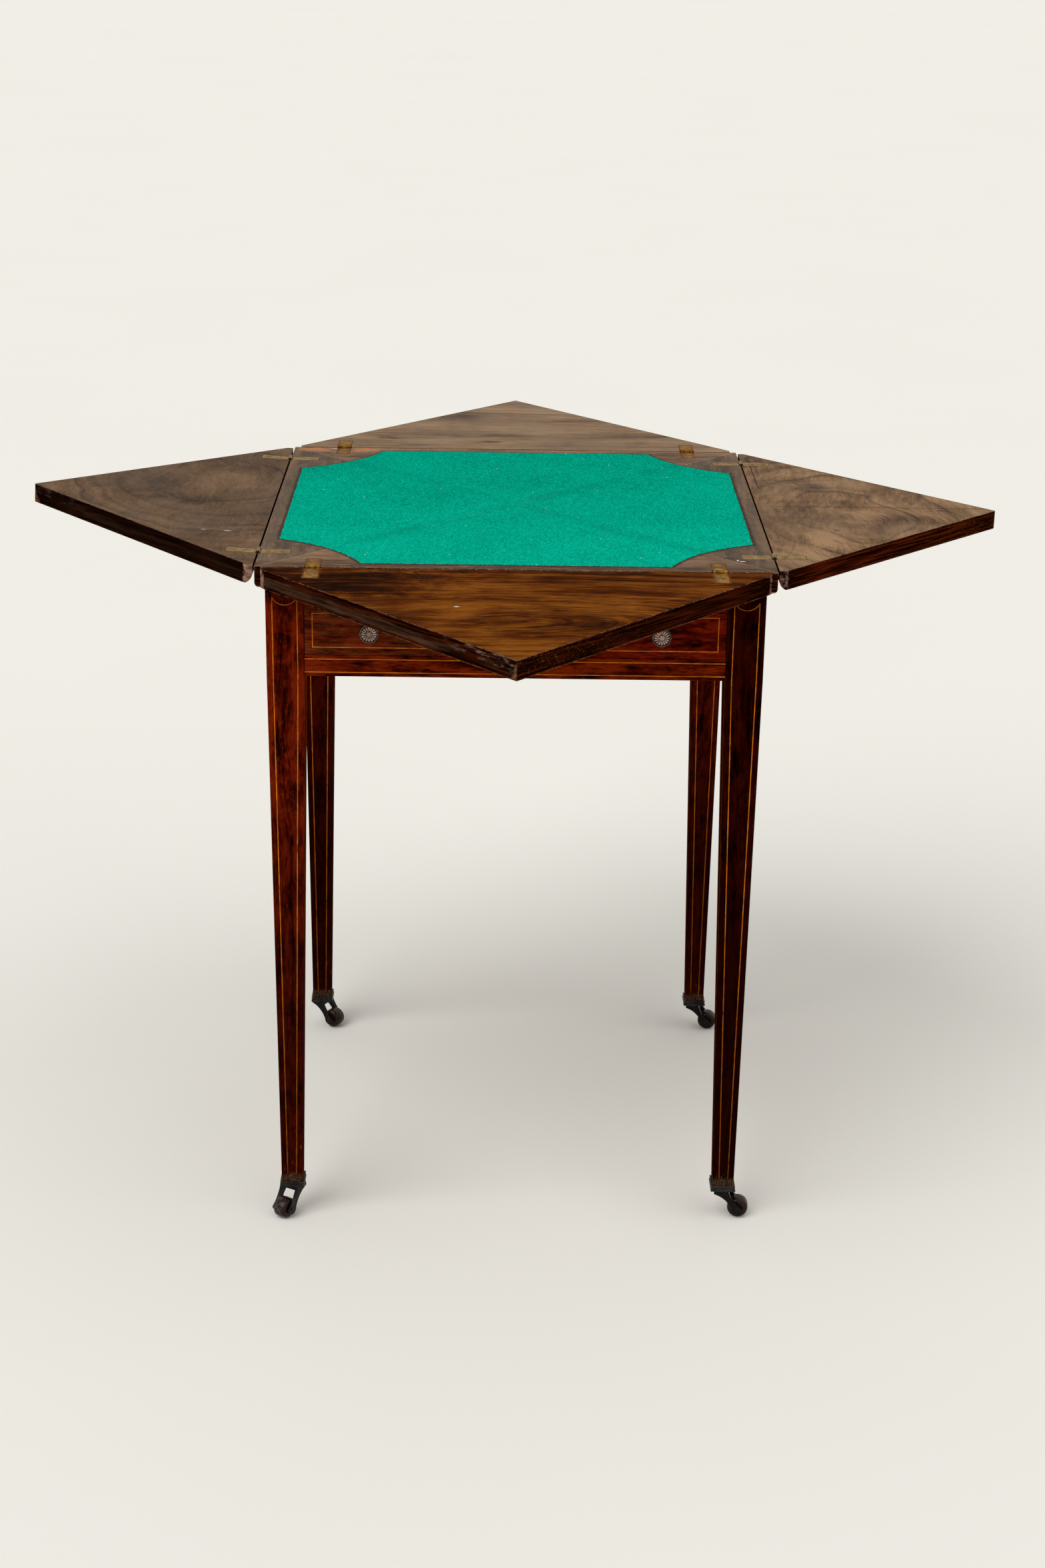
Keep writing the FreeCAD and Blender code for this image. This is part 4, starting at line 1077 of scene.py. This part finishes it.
def addScrews(s):
    f = agedBrass("screw brass", brassLooks["screw"], [])
    # the countersinks' dark finish is painted shade
    grime = Finish("screw countersink shade", Roughness=0.8, Specular_IOR_Level=0.0)
    grime.paint(Base_Color=grime.mix(grime.noise(700, 3, 0.6), s["seatShadeDark"], s["seatShadePale"]))
    chance = random.Random(11)
    for side, turn in sides.items():
        around = Matrix.Rotation(math.radians(turn), 4, "Z")
        axis = Vector((0, -hingeLine, hingeHeight))
        rise = Matrix.Rotation(-math.radians(flapRise[side]), 4, "X")
        lift = Matrix.Translation(axis) @ rise @ Matrix.Translation(-axis)
        for body, outward, frameTurn in (("top", 1, around), (side + "_flap", -1, around @ lift)):
            mesh = bmesh.new()
            for hinge in (-hingeAt, hingeAt):
                for place in s["places"]:
                    across = hinge + chance.uniform(-s["stray"], s["stray"])
                    spot = (across, -hingeLine + outward * place, topHeight)
                    addScrew(mesh, frameTurn, spot, chance.uniform(0, math.pi), s)
            screws = addPiece(side + "_screws_" + ("panel" if outward > 0 else "flap"), mesh)
            f.wear([screws])
            screws.data.materials.append(grime.material)
            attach(screws, body)


addScrews(screwSet)
print("brass and screws finished")


# castor irons and the pivot's steel; wornAt is the radius of the rubbed arrises
metalLooks = {
    "cup iron": dict(
        dark=(0.0095, 0.0082, 0.0072), worn=(0.17, 0.145, 0.115), rough=0.38, metallic=0.1,
        specular=0.12, wornAt=0.0012, names=cups),
    "horn iron": dict(
        dark=(0.0032, 0.0028, 0.0027), worn=(0.070, 0.062, 0.055), rough=0.26, metallic=0.0,
        specular=0.10, wornAt=0.0009, names=horns),
    "axle iron": dict(
        dark=(0.0045, 0.004, 0.0037), worn=(0.10, 0.085, 0.07), rough=0.28, metallic=0.0,
        specular=0.12, wornAt=0.0006, names=axles),
    "pivot steel": dict(
        dark=(0.16, 0.15, 0.14), worn=(0.45, 0.43, 0.4), rough=0.42, metallic=1.0,
        specular=0.5, wornAt=0.0008, names=["pivot_stud", "pivot_washer", "pivot_nut"])}


def plainMetal(name, look):
    f = Finish(name, Metallic=look["metallic"], Specular_IOR_Level=look["specular"])
    pits = f.noise(340, 4, 0.7)
    patch = f.noise(90, 4, 0.6)
    rubbed = f.edge(look["wornAt"]).ease(0.03, 0.25) * patch.ease(0.38, 0.6)
    f.colour = f.mix(patch.ease(0.3, 0.75) * 0.5, look["dark"], scaled(look["dark"], 2.2))
    f.coat(rubbed * 0.85, look["worn"])
    rough = look["rough"] + (pits - 0.5) * 0.3 - rubbed * 0.1
    f.show(rough, pits + patch, 0.0003, 0.6)
    f.wear(look["names"])


for metalName, look in metalLooks.items():
    plainMetal(metalName, look)

# brown glazed wheels, scuffed on the tread; turns are how the castors stand, in degrees
wheelSet = dict(
    turns={"front_left": -120, "front_right": -6, "rear_right": -10, "rear_left": -32},
    dark=(0.0050, 0.0015, 0.0010), light=(0.026, 0.0062, 0.0030), scuff=(0.22, 0.19, 0.17),
    coat=0.22, coatRough=0.06, specular=0.06, rough=0.16, treadFrom=0.0109, treadTo=0.0116)


def wheelGlaze(corner, s):
    f = Finish(corner.replace("_", " ") + " wheel glaze", Coat_Weight=s["coat"],
               Coat_Roughness=s["coatRough"], Specular_IOR_Level=s["specular"])
    low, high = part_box(corner + "_castor_wheel")
    middle = tuple((low + high) / 2)
    offset = f.node("VectorMath", {"operation": "SUBTRACT"}, {0: f.spot, 1: middle}, "Vector")
    x, _, z = f.split(f.turned(offset, -s["turns"][corner]))
    radius = (x * x + z * z).root()
    speckle = f.noise(900, 4, 0.75)
    cloud = f.noise(110, 4, 0.6)
    f.colour = f.mix(cloud.ease(0.3, 0.7), s["dark"], s["light"])
    tread = radius.ease(s["treadFrom"], s["treadTo"]) * (cloud * 0.35 + speckle * 0.65).ease(0.53, 0.62)
    f.coat(tread * 0.55, s["scuff"])
    rough = s["rough"] + tread * 0.4 + (speckle - 0.5) * 0.08
    f.show(rough, cloud * 0.6 + tread * speckle, 0.0003, 0.5)
    f.wear([corner + "_castor_wheel"])


for corner in corners:
    wheelGlaze(corner, wheelSet)
print("castors finished")
